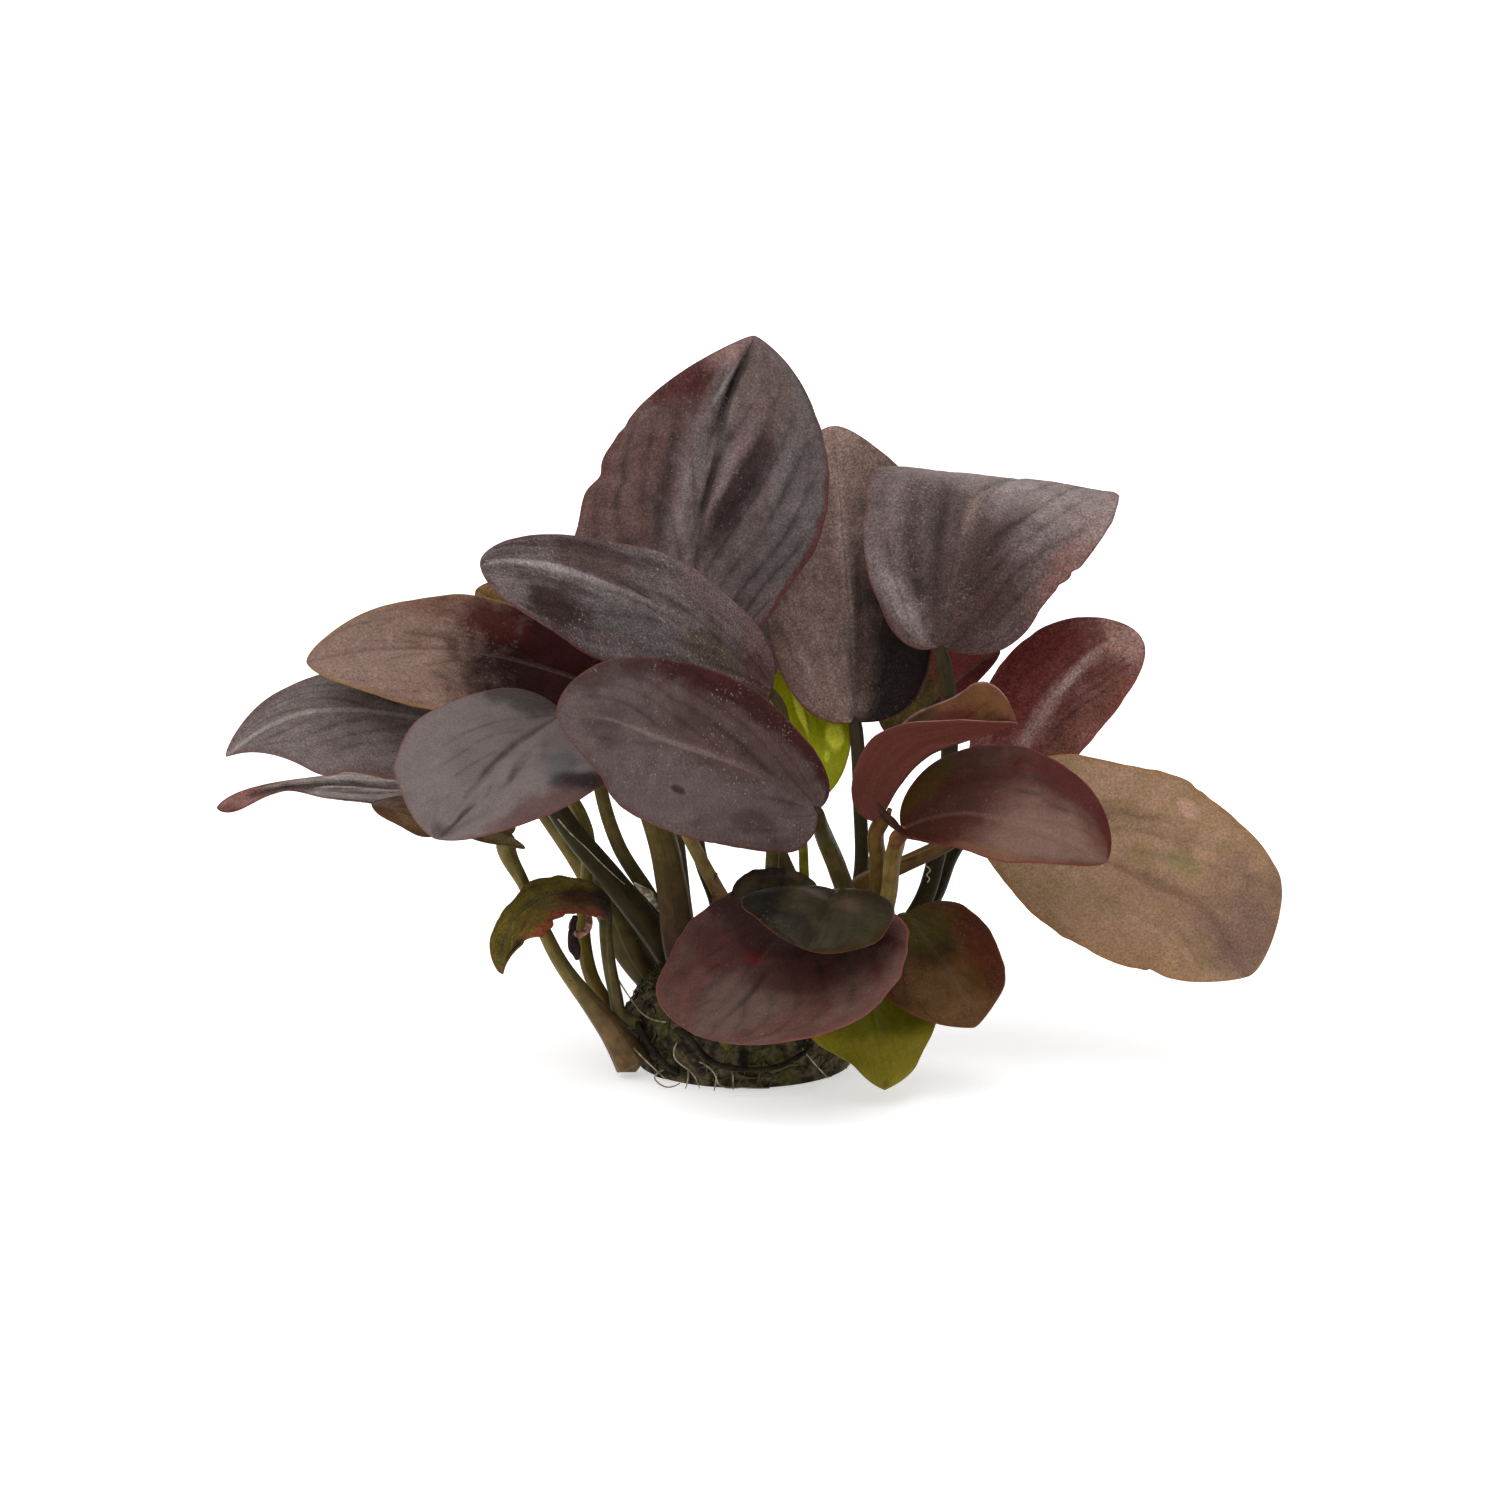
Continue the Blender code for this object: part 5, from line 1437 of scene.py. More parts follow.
RELIEFS = {
    "tall": Relief(
        groove=0.3, wrinkle=0.7, leather=0.2,
        nicks=(Nick(False, 0.47, 0.03, 0.05), Nick(False, 0.62, 0.015, 0.02)),
        creases=(
            Crease(((0.98, -0.02), (0.85, -0.06), (0.66, -0.06)), 0.9, 0.9),
            Crease(((0.7, 0.48), (0.5, 0.28), (0.3, 0.08)), 2.0, 1.0, 0.7),
            Crease(((0.7, 0.28), (0.5, 0.1), (0.35, 0.0)), 1.4, -0.6, 0.4),
            Crease(((0.75, -0.5), (0.5, -0.4), (0.2, -0.3)), 1.8, 0.6, 0.5),
            Crease(((0.8, -0.3), (0.5, -0.22), (0.3, -0.15)), 1.4, -0.5, 0.4),
            Crease(((0.7, 0.08), (0.5, 0.0), (0.3, -0.06)), 0.8, 0.5, 0.6),
            Crease(((0.35, -0.6), (0.2, -0.5), (0.1, -0.3)), 1.2, 0.5, 0.5),
        ),
    ),
    "centre": Relief(
        wrinkle=0.5, leather=0.22, pebble=0.05,
        creases=(
            Crease(((0.9, 0.06), (0.6, -0.02), (0.3, 0.0)), 1.0, -0.5, 0.5),
            Crease(((0.6, 0.15), (0.35, 0.1), (0.15, 0.05)), 1.0, 0.4, 0.6),
        ),
    ),
    "arched": Relief(
        leather=0.16, pebble=0.05,
        nicks=(
            Nick(True, 0.36, 0.012, 0.02), Nick(True, 0.3, 0.012, 0.02), Nick(False, 0.12, 0.03, 0.04),
            Nick(False, 0.3, 0.02, 0.03),
        ),
        creases=(
            Crease(((0.68, -0.06), (0.55, -0.05), (0.4, -0.1)), 0.9, 0.5, 0.7),
            Crease(((0.6, -0.02), (0.4, -0.02), (0.2, 0.0)), 1.6, -0.5, 0.4),
            Crease(((0.48, -0.35), (0.3, -0.25), (0.1, -0.08)), 1.3, 0.6, 0.6),
            Crease(((0.45, -0.6), (0.25, -0.5), (0.08, -0.2)), 1.3, 0.6, 0.5),
            Crease(((0.4, -0.2), (0.25, -0.15), (0.1, -0.04)), 1.0, -0.4, 0.3),
            Crease(((0.55, 0.35), (0.35, 0.3), (0.1, 0.1)), 1.6, 0.4, 0.4),
            Crease(((0.22, -0.95), (0.1, -0.75), (0.03, -0.3)), 1.5, -0.7, 0.4),
        ),
    ),
    "long": Relief(
        leather=0.2, pebble=0.06, wrinkle=0.5,
        creases=(
            Crease(((0.97, 0.35), (0.85, 0.25), (0.7, 0.12), (0.4, 0.05)), 1.0, -0.5, 0.4),
            Crease(((0.95, 0.0), (0.8, -0.1), (0.6, -0.1)), 1.0, 0.4, 0.4),
            Crease(((0.9, 0.7), (0.6, 0.75), (0.3, 0.7)), 1.2, 0.4, 0.4),
        ),
    ),
    "broad": Relief(
        wrinkle=0.35, leather=0.06, nicks=(Nick(False, 0.03, 0.02, 0.12),),
        creases=(
            Crease(((0.9, -0.05), (0.6, 0.0), (0.2, 0.0)), 0.7, -0.2, 0.4),
            Crease(((0.6, 0.4), (0.4, 0.25), (0.15, 0.05)), 1.2, 0.3, 0.4),
        ),
    ),
    "drooping": Relief(
        wrinkle=0.5, leather=0.05, pebble=0.0,
        creases=(
            Crease(((0.98, 0.0), (0.9, -0.1), (0.75, -0.15)), 0.8, 0.5, 0.6),
            Crease(((0.98, 0.0), (0.9, -0.3), (0.78, -0.45)), 1.2, 0.4, 0.4),
            Crease(((0.97, 0.05), (0.9, 0.3), (0.8, 0.4)), 1.0, 0.3, 0.3),
            Crease(((0.8, 0.04), (0.5, 0.04), (0.1, 0.03)), 0.5, 0.3, 0.8),
            Crease(((0.75, -0.2), (0.55, -0.25), (0.4, -0.2)), 1.0, 0.2, 0.3),
        ),
    ),
    "bronze": Relief(
        wrinkle=0.3, leather=0.06,
        creases=(
            Crease(((0.7, 0.25), (0.5, 0.22), (0.2, 0.1)), 1.2, 0.3, 0.3),
            Crease(((0.75, -0.4), (0.5, -0.4), (0.3, -0.3)), 1.2, 0.2, 0.2),
        ),
    ),
    "grey": Relief(groove=0.0, wrinkle=0.35, leather=0.08),
    "twisted": Relief(
        leather=0.1,
        creases=(
            Crease(((0.9, 0.0), (0.6, 0.1), (0.2, 0.1)), 0.8, 0.5, 0.7),
            Crease(((0.85, -0.5), (0.5, -0.4), (0.2, -0.3)), 0.8, 0.4, 0.5),
        ),
    ),
    "level": Relief(
        leather=0.1, creases=(Crease(((0.1, -0.3), (0.5, -0.35), (0.9, -0.2)), 0.8, 0.5, 0.5),),
    ),
    "chewed": Relief(
        wrinkle=0.7, wrinkle_size=5, leather=0.25, ragged=0.06,
        nicks=(
            Nick(False, 0.2, 0.03, 0.2), Nick(False, 0.28, 0.012, 0.12), Nick(False, 0.34, 0.02, 0.16),
            Nick(False, 0.41, 0.012, 0.1), Nick(False, 0.48, 0.015, 0.13), Nick(False, 0.56, 0.012, 0.1),
            Nick(False, 0.63, 0.02, 0.16), Nick(False, 0.7, 0.012, 0.12), Nick(False, 0.79, 0.04, 0.3),
            Nick(True, 0.75, 0.03, 0.08),
        ),
    ),
    "low": Relief(
        groove=0.15, wrinkle=0.5, leather=0.05, pebble=0.01,
        creases=(
            Crease(((0.85, -0.12), (0.6, -0.12), (0.35, -0.1)), 0.8, 0.4, 0.7),
            Crease(((0.8, 0.3), (0.6, 0.3), (0.4, 0.2)), 1.4, 0.3, 0.3),
        ),
    ),
    "saddle": Relief(groove=0.1, wrinkle=0.3, leather=0.04, pebble=0.01),
    "round": Relief(groove=0.1, leather=0.06, wrinkle=0.4),
    "lime": Relief(groove=0.1, wrinkle=0.25, leather=0.04, pebble=0.01),
    "olive": Relief(
        groove=0.1, veins=6, vein_depth=0.1, wrinkle=0.4, leather=0.07, ragged=0.012,
        creases=(
            Crease(((0.9, -0.02), (0.7, -0.04), (0.4, 0.0)), 0.8, 0.3, 0.5),
            Crease(((0.7, -0.6), (0.5, -0.55), (0.3, -0.5)), 1.0, 0.25, 0.4),
            Crease(((0.85, 0.35), (0.6, 0.4), (0.35, 0.3)), 1.0, 0.2, 0.3),
        ),
    ),
    "wine": Relief(
        groove=0.0, wrinkle=0.35, leather=0.05, pebble=0.01,
        creases=(
            Crease(((0.9, -0.02), (0.6, -0.03), (0.25, -0.02)), 0.5, -0.25, 0.5),
            Crease(((0.8, -0.4), (0.55, -0.45), (0.3, -0.35)), 0.6, 0.2, 0.5),
            Crease(((0.75, -0.6), (0.5, -0.65), (0.3, -0.5)), 0.6, 0.2, 0.4),
        ),
    ),
    "rolled": Relief(wrinkle=0.3, leather=0.06, pebble=0.01),
    "ruby": Relief(
        leather=0.16, pebble=0.05,
        creases=(
            Crease(((0.85, -0.45), (0.75, -0.22), (0.55, -0.05), (0.1, 0.0)), 1.0, -0.4, 0.4),
            Crease(((0.8, 0.3), (0.5, 0.35), (0.2, 0.3)), 1.2, 0.3, 0.3),
        ),
    ),
}

GREEN_LEAVES = {"lime", "bright", "chewed", "level", "speckled", "round"}

TAN_STALK = StalkFinish(body=(0.145, 0.082, 0.017), shade=(0.1, 0.06, 0.013), neck=(0.12, 0.055, 0.013))
# stalks at the back, painted dark for the deep shade they stand in
SHADED_STALK = StalkFinish(body=(0.024, 0.017, 0.006), neck=(0.028, 0.02, 0.007), line_strength=0.3)
RIGHT_LINE = (0.16, 0.2)
STALK_FINISHES = {
    "rolled": TAN_STALK,
    "wine": StalkFinish(body=(0.19, 0.12, 0.033), shade=(0.135, 0.087, 0.026), neck=(0.12, 0.035, 0.015)),
    "olive": StalkFinish(body=(0.07, 0.036, 0.007), shade=(0.046, 0.026, 0.005), neck=(0.055, 0.02, 0.006)),
    "centre": SHADED_STALK,
    "arched": SHADED_STALK,
    "ruby": SHADED_STALK,
    "grey": StalkFinish(body=(0.026, 0.02, 0.006), neck=(0.03, 0.018, 0.008), line_turn=RIGHT_LINE),
    "drooping": StalkFinish(body=(0.068, 0.045, 0.01), shade=(0.037, 0.016, 0.008), line_turn=RIGHT_LINE),
    "bronze": StalkFinish(body=(0.09, 0.068, 0.018), neck=(0.1, 0.035, 0.02), line_strength=0.1),
    "bright": StalkFinish(body=(0.17, 0.15, 0.008), neck=(0.19, 0.17, 0.01)),
    "tucked": StalkFinish(body=(0.27, 0.2, 0.066), shade=(0.22, 0.12, 0.04), line_strength=0.1),
    "rear_left": StalkFinish(body=(0.115, 0.085, 0.02), shade=(0.06, 0.043, 0.013), spot_strength=0.9),
    "twisted": StalkFinish(body=(0.115, 0.09, 0.014), shade=(0.095, 0.06, 0.01)),
    "chewed": StalkFinish(body=(0.07, 0.054, 0.018), shade=(0.07, 0.054, 0.02), neck=(0.015, 0.01, 0.005)),
    "level": StalkFinish(body=(0.12, 0.09, 0.026), shade=(0.11, 0.066, 0.03), neck=(0.11, 0.085, 0.025)),
}


@dataclass(frozen=True)
class FibreFinish:
    """The finish of roots, stem, growing medium and moss: dull and mottled in two colours."""

    dark: Colour
    light: Colour
    accent: Colour
    accent_share: float = 0.3
    size: float = 2.0  # millimetres across the mottling
    grain: float = 0.35
    roughness: float = 0.75
    depth: float = 0.25
    shine: float = 0.1

    def material(self, name: str) -> bpy.types.Material:
        """Paints the finish as nodes.

        Args:
            name: The material's name.

        Returns:
            The material.
        """
        paint = Painter(name)
        cloud = paint.noise(self.size * 3, 3)
        fine = paint.noise(self.size * 0.35, 4, 0.65)
        colour = paint.mix(paint.step(paint.noise(self.size, 3), 0.35, 0.65), self.dark, self.light)
        accent = paint.step(cloud, 0.72 - self.accent_share * 0.5, 0.78 - self.accent_share * 0.4)
        colour = paint.mix(accent, colour, self.accent)
        colour = paint.vary(colour, fine, 0.2, self.grain)
        paint.bump(fine, self.depth)
        paint.colour(colour)
        paint.fix(Specular_IOR_Level=self.shine)
        paint.roughness(paint.span(fine, 0.3, 0.7, self.roughness + 0.1, self.roughness - 0.1))
        return paint.material


# Each has its dark, light and accent colour, then in order the fields that follow them
SOIL = FibreFinish((0.013, 0.01, 0.006), (0.095, 0.075, 0.04), (0.065, 0.062, 0.018), 0.3, 2.4)
ROOTLET = FibreFinish((0.015, 0.011, 0.006), (0.1, 0.08, 0.04), (0.04, 0.04, 0.012), 0.3, 3, 0.3, 0.65, 0.1)
MOSS = FibreFinish((0.018, 0.018, 0.004), (0.075, 0.07, 0.013), (0.13, 0.11, 0.025), 0.3, 1.2, 0.3, 0.6, 0.05)
BARK = FibreFinish((0.03, 0.025, 0.01), (0.11, 0.09, 0.035), (0.07, 0.075, 0.02), 0.3, 2.5)
GREEN_ROOT = FibreFinish(
    (0.045, 0.036, 0.008), (0.13, 0.11, 0.025), (0.09, 0.095, 0.015), 0.35, 2, 0.2, 0.5, 0.08
)
BROWN_ROOT = FibreFinish(
    (0.007, 0.005, 0.002), (0.024, 0.018, 0.007), (0.018, 0.016, 0.005), 0.3, 2, 0.25, 0.6, 0.1
)
PALE_ROOT = FibreFinish((0.16, 0.13, 0.07), (0.4, 0.36, 0.25), (0.3, 0.28, 0.15), 0.3, 2, 0.15, 0.45, 0.04)
PAPERY_SCRAP = FibreFinish(
    (0.17, 0.14, 0.08), (0.5, 0.46, 0.34), (0.08, 0.055, 0.03), 0.3, 0.9, 0.3, 0.4, 0.08
)
DRY_SKIN = FibreFinish((0.1, 0.045, 0.025), (0.3, 0.15, 0.08), (0.2, 0.09, 0.05), 0.3, 1.5, 0.2, 0.7, 0.06)


@dataclass(frozen=True)
class Medium:
    """The plug of growing medium: a fibrous, mossy lump, cut off flat below."""

    profile: tuple[tuple[float, float], ...] = (
        (19.5, 0), (20.6, 5), (20.9, 9.6), (18.8, 13), (13, 14.8), (6, 15.4), (0.3, 15.6)
    )  # radius and height, from the cut up to the crown
    roughness: tuple[tuple[float, float], ...] = ((0.8, 7), (0.75, 2.4), (0.3, 0.8))  # heights and sizes
    hump_centre: tuple[float, float] = (-14.5, -2.5)
    hump_height: float = 3.0
    hump_spread: float = 3.4
    rings: int = 90
    around: int = 300
    fibres: int = 260
    fibre_rings: int = 12
    fibre_sides: int = 5
    tufts: int = 900
    tuft_rings: int = 4
    tuft_sides: int = 4
    seed: int = 11

    def skin(self, share: np.ndarray, turn: np.ndarray) -> tuple[np.ndarray, np.ndarray]:
        """The plug's surface.

        Args:
            share: 0 at the rim of the cut face to 1 at the top's middle.
            turn: The angle about the plug's axis, in radians.

        Returns:
            The points, and the directions that face out of the plug.
        """
        flat = np.atleast_1d(share)
        profile = [(radius, 0, height) for radius, height in self.profile]
        line = smooth_path(profile, flat)
        slope = unit(smooth_path(profile, flat + 0.01) - smooth_path(profile, flat - 0.01))
        spin = np.stack([np.cos(turn), np.sin(turn)], axis=-1)
        radius, height = line[:, 0], line[:, 2]
        points = np.stack([radius * spin[..., 0], radius * spin[..., 1], height], axis=-1)
        out = np.stack([slope[:, 2] * spin[..., 0], slope[:, 2] * spin[..., 1], -slope[:, 0]], axis=-1)
        noise = Field(self.seed)
        low = fade(height, 0, 2)
        rough = sum(height * noise.at(points, size) for height, size in self.roughness)
        away = np.linalg.norm(points[..., :2] - np.array(self.hump_centre), axis=-1) / self.hump_spread
        hump = self.hump_height * np.exp(-away * away) * fade(height, 10, 13)
        points = points + out * (rough * low)[..., None]
        points[..., 2] += hump
        return points, out

    def build(self) -> bpy.types.Object:
        """Models the plug with its lumpy surface."""
        shares = np.linspace(0, 1, self.rings)
        turns = circle(self.around)
        rows = [self.skin(np.full(self.around, share), turns)[0] for share in shares]
        points = np.concatenate([*rows, [[0, 0, 0], rows[-1].mean(0)]])
        pile = Pile()
        pile.add(points, quads(ring_numbers(len(shares), self.around)))
        return pile.make("medium_plug", (0, 0, 0))

    def build_fibres(self) -> bpy.types.Object:
        """Models the fine rootlets that mat the plug's side and top."""
        random = np.random.default_rng(self.seed)
        pile = Pile()
        for _ in range(self.fibres):
            start, turn = random.uniform(0.02, 0.85), random.uniform(0, 2 * math.pi)
            length = random.uniform(0.12, 0.35)
            heading = random.uniform(-1, 1)
            t = np.linspace(0, 1, self.fibre_rings)
            wiggle = 0.03 * np.sin(t * random.uniform(4, 9) + random.uniform(0, 6))
            shares = np.clip(start + heading * length * t + wiggle, 0.01, 0.95)
            turns = turn + length * 1.8 * (1 - abs(heading)) * t + wiggle * 2
            points, out = self.skin(shares, turns)
            lift = random.uniform(0.0, 0.35) + 0.5 * np.sin(math.pi * t) * random.uniform(0, 1)
            radius = random.uniform(0.1, 0.24)
            radii = round_radii(radius * (1 - 0.5 * t), self.fibre_sides)
            add_tube(pile, points + out * lift[:, None], radii)
        return pile.make("medium_fibres", (0, 0, 0))

    def build_moss(self) -> bpy.types.Object:
        """Models the moss on the hump, as many small curved leaves."""
        random = np.random.default_rng(self.seed + 1)
        pile = Pile()
        for _ in range(self.tufts):
            spread = random.normal(0, 2.4, 2)
            x, y = np.array(self.hump_centre) + spread
            rims = [radius for radius, _ in self.profile[:1:-1]]
            share = np.interp(math.hypot(x, y), rims, [1, 0.9, 0.7, 0.5, 0.4])
            point, out = self.skin(np.array([min(share, 0.98)]), np.array([math.atan2(y, x)]))
            lean = unit(out[0] + random.normal(0, 0.5, 3) + np.array([0, 0, 0.5]))
            droop = random.normal(0, 0.5, 3) - np.array([0, 0, 0.5])
            length = random.uniform(0.7, 1.9)
            t = np.linspace(0, 1, self.tuft_rings)[:, None]
            path = point[0] + length * (lean * t + droop * 0.5 * t * t)
            add_tube(pile, path, np.repeat(0.16 * (1 - t) + 0.03, self.tuft_sides, axis=1))
        return pile.make("medium_moss", (0, 0, 0))

    def dress(self) -> None:
        """Builds and finishes the plug, its rootlets and its moss."""
        seat(self.build(), Slot.MEDIUM, SOIL.material("medium_plug"), "plug")
        seat(self.build_fibres(), Slot.ROOT, ROOTLET.material("medium_fibres"))
        seat(self.build_moss(), Slot.MEDIUM, MOSS.material("medium_moss"))


@dataclass(frozen=True)
class Shred:
    """A small thin tongue of leaf or sheath, loose along most of its length."""

    name: str
    path: tuple[Point, ...]
    widths: tuple[float, ...]  # half widths in even steps along the path
    slot: Slot
    finish: FibreFinish
    facing: Point = (0, -0.9, 0.4)  # where its flat side faces
    thickness: float = 0.18  # half of it
    uneven: float = 0.08  # unevenness of its outline, as a share of its width
    uneven_size: float = 0.8
    seed: int = 5
    sides: int = 16
    ring_gap: float = 0.15

    def build(self) -> bpy.types.Object:
        """Models the shred."""
        shares = np.linspace(0, 1, round(steps_of(self.path).sum() / self.ring_gap))
        points = smooth_path(self.path, shares)
        wide = smooth_values(self.widths, shares)[:, None]
        thick = np.minimum(self.thickness, wide)
        angle = circle(self.sides)
        radii = wide * thick / np.hypot(wide * np.cos(angle), thick * np.sin(angle))
        radii = radii * (1 + self.uneven * Field(self.seed).at(points, self.uneven_size)[:, None])
        return make_tube(self.name, points, radii, self.facing)

    def dress(self) -> None:
        """Builds and finishes the shred."""
        seat(self.build(), self.slot, self.finish.material(self.name))


SHREDS = (
    Shred(
        "lobe_curled_at_wine",
        ((28.6, -17.2, 46), (26.4, -18, 48.1), (24.6, -17.9, 50), (23.6, -17.2, 51.7)),
        (0.5, 0.75, 0.95, 0.75, 0.25), Slot.LEAF_DARK,
        FibreFinish(
            (0.022, 0.008, 0.005), (0.05, 0.018, 0.012), (0.1, 0.04, 0.028), 0.2, 1.5, 0.2, 0.5, 0.05,
        ),
        facing=(0.5, -0.8, 0.4),
    ),
    Shred(
        "lobe_far_at_saddle",
        (
            (-1.2, -27, 36.6), (0.9, -27, 38.9), (4.1, -27, 40), (7, -27, 39.8), (9.6, -27, 39.2),
            (12.4, -27, 36.6),
        ),
        (1.5, 2.3, 2.2, 2.2, 2.1, 1.4), Slot.LEAF_DARK,
        FibreFinish(
            (0.012, 0.007, 0.003), (0.035, 0.022, 0.008), (0.03, 0.028, 0.009), 0.3, 3, 0.2, 0.5, 0.05,
        ),
    ),
    Shred(
        "shred_curled_at_chewed",
        (
            (-27.8, -13, 30), (-28, -13.6, 28), (-29.4, -13.8, 26.8), (-30.8, -13.4, 27.5),
            (-30.6, -13, 29.3),
        ),
        (0.6, 0.7, 0.6, 0.55, 0.5), Slot.LEAF_GREEN,
        FibreFinish((0.12, 0.035, 0.025), (0.3, 0.17, 0.12), (0.03, 0.01, 0.008), 0.3, 0.9, 0.3, 0.5, 0.08),
        thickness=0.35,
    ),
    Shred(
        "shred_hanging_at_chewed",
        (
            (-30.2, -13, 30), (-30.7, -13.4, 27.2), (-30.5, -13.6, 24.8), (-30, -13.6, 23),
            (-29.9, -13.5, 22.2),
        ),
        (0.5, 0.65, 0.95, 1.05, 0.4), Slot.LEAF_GREEN,
        FibreFinish(
            (0.008, 0.003, 0.004), (0.02, 0.009, 0.011), (0.04, 0.02, 0.02), 0.15, 1.2, 0.2, 0.5, 0.06,
        ),
        thickness=0.5,
    ),
    Shred(
        "scrap_papery",
        (
            (-19.9, -1.6, 33.4), (-18.6, -1.9, 32.4), (-17.2, -2, 31.3), (-16.1, -2, 29.6),
            (-15.4, -1.9, 28.2),
        ),
        (0.2, 0.6, 0.85, 0.7, 0.2), Slot.DRY, PAPERY_SCRAP, facing=(0.3, -0.9, 0.4),
    ),
    Shred(
        "thread_at_ruby",
        ((33, 3.6, 35.3), (33.7, 3.5, 34.6), (33.1, 3.5, 33.6), (33.6, 3.7, 32.9), (33.2, 3.8, 32.2)),
        (0.12,), Slot.DRY,
        FibreFinish((0.25, 0.22, 0.15), (0.5, 0.46, 0.36), (0.3, 0.25, 0.15), 0.2, 0.8, 0.1, 0.5, 0.02),
        thickness=0.12,
    ),
    Shred(
        "membrane_at_grey",
        ((-33.5, -3.2, 45.6), (-31.4, -3, 43), (-28.6, -2.6, 40.2), (-25.6, -2.3, 37), (-21.6, -2, 33.2)),
        (0.14, 0.12, 0.1, 0.1, 0.06), Slot.STALK,
        FibreFinish((0.2, 0.18, 0.1), (0.42, 0.4, 0.3), (0.2, 0.15, 0.08), 0.2, 1.5, 0.1, 0.5, 0.02),
        thickness=0.1,
    ),
)


@dataclass(frozen=True)
class Rootwork:
    """The creeping stem, the three surfacing roots, the hair roots and the dry sheath."""

    stem_path: tuple[Point, ...] = (
        (-13, 3, 12.5), (-6, 5, 15.5), (3, 4.5, 16.5), (12, 3.5, 16), (20, 1, 13.5)
    )
    stem_radii: tuple[float, ...] = (3.4, 4.6, 4.2, 4.6, 3.2)
    stem_grid: tuple[int, int] = (140, 40)  # rings and sides
    scar_gap: float = 2.6
    scar_depth: float = 0.35
    root_grid: tuple[int, int] = (70, 14)
    root_lump: float = 0.12
    lump_size: float = 1.6
    lump_seed: int = 31
    hair_grid: tuple[int, int] = (36, 8)
    sheath_grid: tuple[int, int] = (60, 20)

    ROOTS = {
        "thick": ((-7, -18, 12), (-5.6, -21.6, 12.5), (-3.8, -22.6, 9.8), (-2.6, -20, 7.6)),
        "arch": (
            (-12, -17, 10), (-9.5, -21, 9.4), (-6, -23, 6), (0, -23.4, 4.6), (6, -22.9, 5), (12, -20, 8)
        ),
        "long": ((-19, -9, 9), (-18.8, -12.6, 9), (-16.5, -14.8, 6), (-13.5, -17.6, 3.5), (-12, -16, 2)),
    }
    ROOT_RADII = {"thick": (0.9, 0.8), "arch": (0.6, 0.5), "long": (0.6, 0.5)}

    HAIRS = (
        ((-23, -6, 17), (-21, -9, 14.5), (-18, -12, 11.5), (-14, -15, 11)),
        ((-20.5, -12, 6), (-18, -16, 4.5), (-14, -19, 1.5)),
        ((-14.5, -18, 3), (-16, -20, 2), (-14, -21.5, 0.8), (-11.5, -20.5, 1.2)),
        ((-8, -20, 5), (-5.4, -22, 3.5), (-4.5, -22, 1.4), (0, -22.4, 0.9), (4.5, -22.2, 0.8)),
        ((-10, -20.5, 3.5), (-10.2, -21.6, 1.5), (-10.5, -21.4, 0.5)),
        ((-5, -20.8, 3), (-5.2, -22.5, 1.2), (-5.4, -22.6, 0.4)),
        ((-2.2, -21, 4), (-2, -22.4, 2), (-2, -22.2, 0.5)),
        ((9, -19, 9), (12, -18.8, 5), (15, -16.4, 1)),
        ((17, -12, 9), (19, -11, 5), (18.4, -10, 1)),
        ((-12, -17.6, 8), (-12.5, -20, 6), (-9, -21.8, 3), (-8, -21.6, 0.6)),
    )
    HAIR_RADIUS = 0.17

    SHEATH = ((-5, 5, 15), (-5.4, 5.4, 25), (-5.2, 5.4, 33.6))
    SHEATH_RADII = (1.1, 0.9, 0.3)

    def build_stem(self) -> bpy.types.Object:
        """Models the creeping stem with the ring scars of its old leaves."""
        rings, sides = self.stem_grid
        shares = np.linspace(0, 1, rings)
        path = smooth_path(self.stem_path, shares)
        along = np.concatenate([[0], np.cumsum(steps_of(path))])
        radius = smooth_values(self.stem_radii, shares)
        scar = np.abs(np.sin(math.pi * along / self.scar_gap))
        radii = radius[:, None] * (1 + 0.015 * np.cos(7 * circle(sides)))
        radii -= self.scar_depth * (1 - scar[:, None]) ** 4
        return make_tube("stem_creeping", path, radii)

    def build_roots(self) -> list[tuple[str, bpy.types.Object]]:
        """Models the surfacing roots, each with its node's name."""
        made = []
        rings, sides = self.root_grid
        shares = np.linspace(0, 1, rings)
        for index, (name, path) in enumerate(self.ROOTS.items()):
            radius = smooth_values(self.ROOT_RADII[name], shares)
            points = smooth_path(path, shares)
            lumps = self.root_lump * Field(self.lump_seed + index).at(points, self.lump_size)
            piece = make_tube("surfacing_root_" + name, points, round_radii(radius + lumps, sides))
            made.append(("root_" + name, piece))
        return made

    def build_hairs(self) -> bpy.types.Object:
        """Models the thin loose roots that arch over the plug."""
        pile = Pile()
        rings, sides = self.hair_grid
        shares = np.linspace(0, 1, rings)
        radii = round_radii(self.HAIR_RADIUS * (1 - 0.4 * shares), sides)
        for hair in self.HAIRS:
            add_tube(pile, smooth_path(hair, shares), radii)
        return pile.make("hair_roots", (0, 0, 0))

    def build_sheath(self) -> bpy.types.Object:
        """Models the dry sheath of a lost leaf, a thin flattened spike."""
        rings, sides = self.sheath_grid
        shares = np.linspace(0, 1, rings)
        angle = circle(sides)
        radius = smooth_values(self.SHEATH_RADII, shares)[:, None]
        flattened = 1 - 0.45 * np.cos(angle) ** 2
        ribbed = 1 + 0.06 * np.cos(6 * angle + 9 * shares[:, None])
        return make_tube("sheath_dry", smooth_path(self.SHEATH, shares), radius * flattened * ribbed)

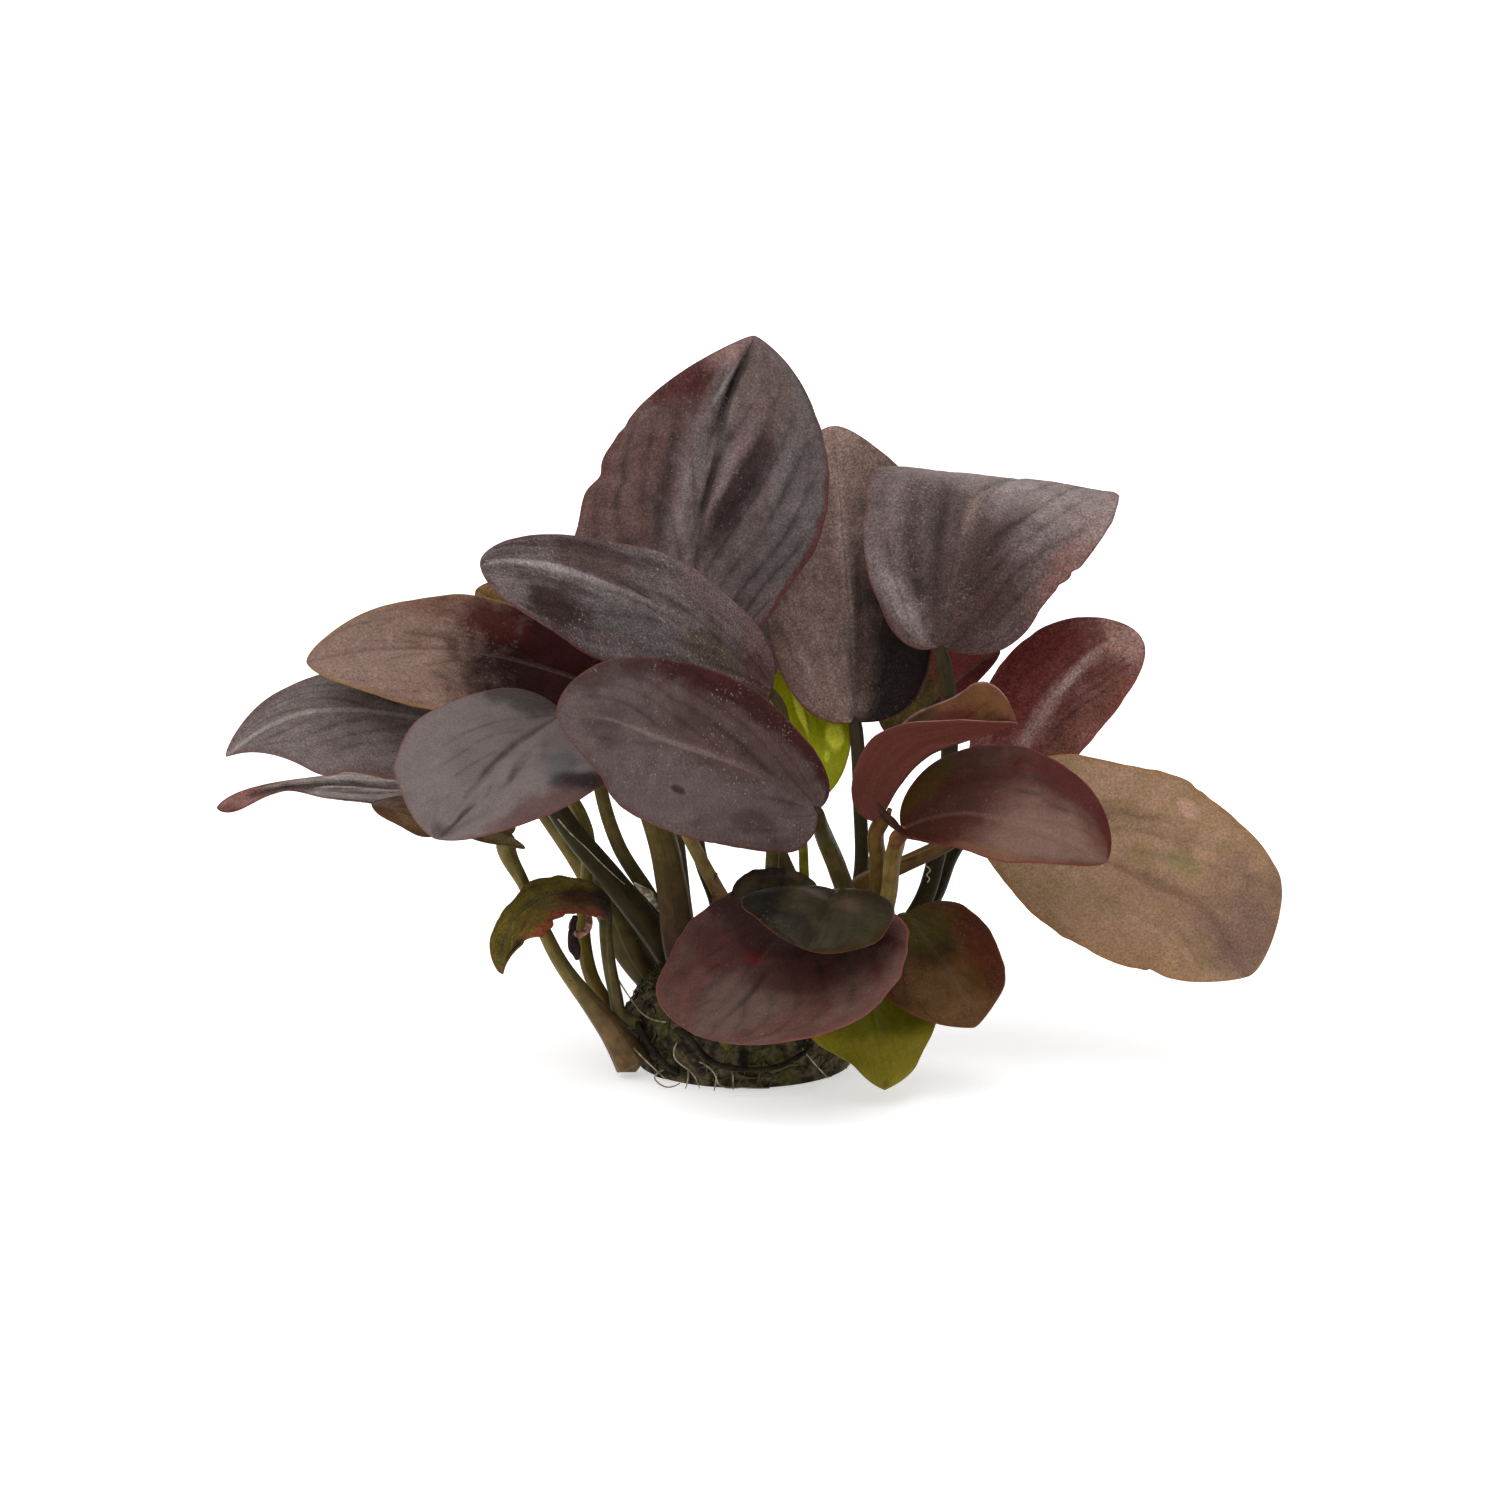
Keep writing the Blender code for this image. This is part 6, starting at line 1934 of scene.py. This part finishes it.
    def dress(self) -> None:
        """Builds and finishes every piece of the rootwork."""
        seat(self.build_stem(), Slot.STEM, BARK.material("stem_creeping"), "creeping_stem")
        for node, piece in self.build_roots():
            skin = GREEN_ROOT if node == "root_thick" else BROWN_ROOT
            seat(piece, Slot.ROOT, skin.material(piece.name), node)
        seat(self.build_hairs(), Slot.ROOT, PALE_ROOT.material("hair_roots"))
        seat(self.build_sheath(), Slot.DRY, DRY_SKIN.material("sheath_dry"), "dry_sheath")


@dataclass(frozen=True)
class Foliage:
    """All the leaves, each a blade on its own stalk."""

    leaves: tuple[Leaf, ...]

    def dress(self) -> None:
        """Builds and finishes each blade and each stalk."""
        for index, leaf in enumerate(self.leaves):
            rear = leaf.name.startswith("rear")
            finish = BLADE_FINISHES["rear" if rear else leaf.name]
            blade = Blade(leaf, finish, RELIEFS.get(leaf.name, Relief()), seed=index + 1)
            blade.dress(blade.build())
            stalk = Stalk(leaf, STALK_FINISHES.get(leaf.name, StalkFinish()))
            stalk.dress(stalk.build())


@dataclass(frozen=True)
class Studio:
    """The pale floor, the soft light and the camera at the photograph's viewing angle."""

    elevation: float = 12
    distance: float = 900
    target: Point = (1, 0, 57.6)
    view_width: float = 270  # how wide the picture is at the target
    sensor: float = 36
    floor_half: float = 20000
    floor_colour: Colour = (0.9, 0.9, 0.9)
    floor_shade: Colour = (0.885, 0.885, 0.885)
    floor_glow: float = 0.5  # light that the floor gives off, so that the shade on it stays faint
    sky_low: float = 0.3  # how bright the world is at the horizon and overhead
    sky_high: float = 1.0
    sun_strength: float = 1.7
    sun_angle: float = 70
    sun_from: Point = (-0.45, -0.6, 1.5)

    def floor(self) -> None:
        """Lays the floor."""
        mesh = bpy.data.meshes.new("studio_floor")
        half = self.floor_half * MM
        corners = [(-half, -half, 0), (half, -half, 0), (half, half, 0), (-half, half, 0)]
        mesh.from_pydata(corners, [], [(0, 1, 2, 3)])
        floor = bpy.data.objects.new("studio_floor", mesh)
        bpy.context.scene.collection.objects.link(floor)
        paint = Painter("studio_floor")
        faint = paint.step(paint.noise(60, 2), 0.3, 0.7)
        paint.colour(paint.mix(faint, self.floor_shade, self.floor_colour))
        paint.fix(Roughness=0.9, Specular_IOR_Level=0.0)
        paint.fix(Emission_Color=(1, 1, 1, 1), Emission_Strength=self.floor_glow)
        mesh.materials.append(paint.material)

    def light(self) -> None:
        """Sets the wide soft light above and the even light all round."""
        sun = bpy.data.lights.new("soft_light", "SUN")
        sun.energy = self.sun_strength
        sun.angle = math.radians(self.sun_angle)
        lamp = bpy.data.objects.new("soft_light", sun)
        lamp.rotation_euler = Vector(self.sun_from).to_track_quat("Z", "Y").to_euler()
        bpy.context.scene.collection.objects.link(lamp)
        world = bpy.data.worlds.new("studio")
        world.use_nodes = True
        tree = world.node_tree
        height = tree.nodes.new("ShaderNodeSeparateXYZ")
        tree.links.new(tree.nodes.new("ShaderNodeTexCoord").outputs["Generated"], height.inputs[0])
        sky = tree.nodes.new("ShaderNodeMapRange")
        sky.inputs["To Min"].default_value = self.sky_low
        sky.inputs["To Max"].default_value = self.sky_high
        tree.links.new(height.outputs["Z"], sky.inputs["Value"])
        tree.links.new(sky.outputs["Result"], tree.nodes["Background"].inputs["Strength"])
        tree.nodes["Background"].inputs["Color"].default_value = (1, 1, 1, 1)
        bpy.context.scene.world = world

    def camera(self) -> None:
        """Places the camera."""
        data = bpy.data.cameras.new("camera")
        data.sensor_width = self.sensor
        data.lens = self.sensor * self.distance / self.view_width
        data.clip_start, data.clip_end = 0.01, 100
        tilt = math.radians(self.elevation)
        back = Vector((0, -math.cos(tilt), math.sin(tilt)))
        camera = bpy.data.objects.new("camera", data)
        camera.location = (Vector(self.target) + back * self.distance) * MM
        camera.rotation_euler = back.to_track_quat("Z", "Y").to_euler()
        bpy.context.scene.collection.objects.link(camera)
        bpy.context.scene.camera = camera

    def build(self) -> None:
        """Sets up the studio."""
        self.floor()
        self.light()
        self.camera()
        bpy.context.scene.view_settings.view_transform = "Standard"


def main() -> None:
    """Builds the plant from the ground up and sets it in its studio."""
    logging.basicConfig(level=logging.INFO, format="%(message)s")
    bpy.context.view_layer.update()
    Studio().build()
    Medium().dress()
    Rootwork().dress()
    Foliage(LEAVES).dress()
    for shred in SHREDS:
        shred.dress()


if __name__ == "__main__":
    main()
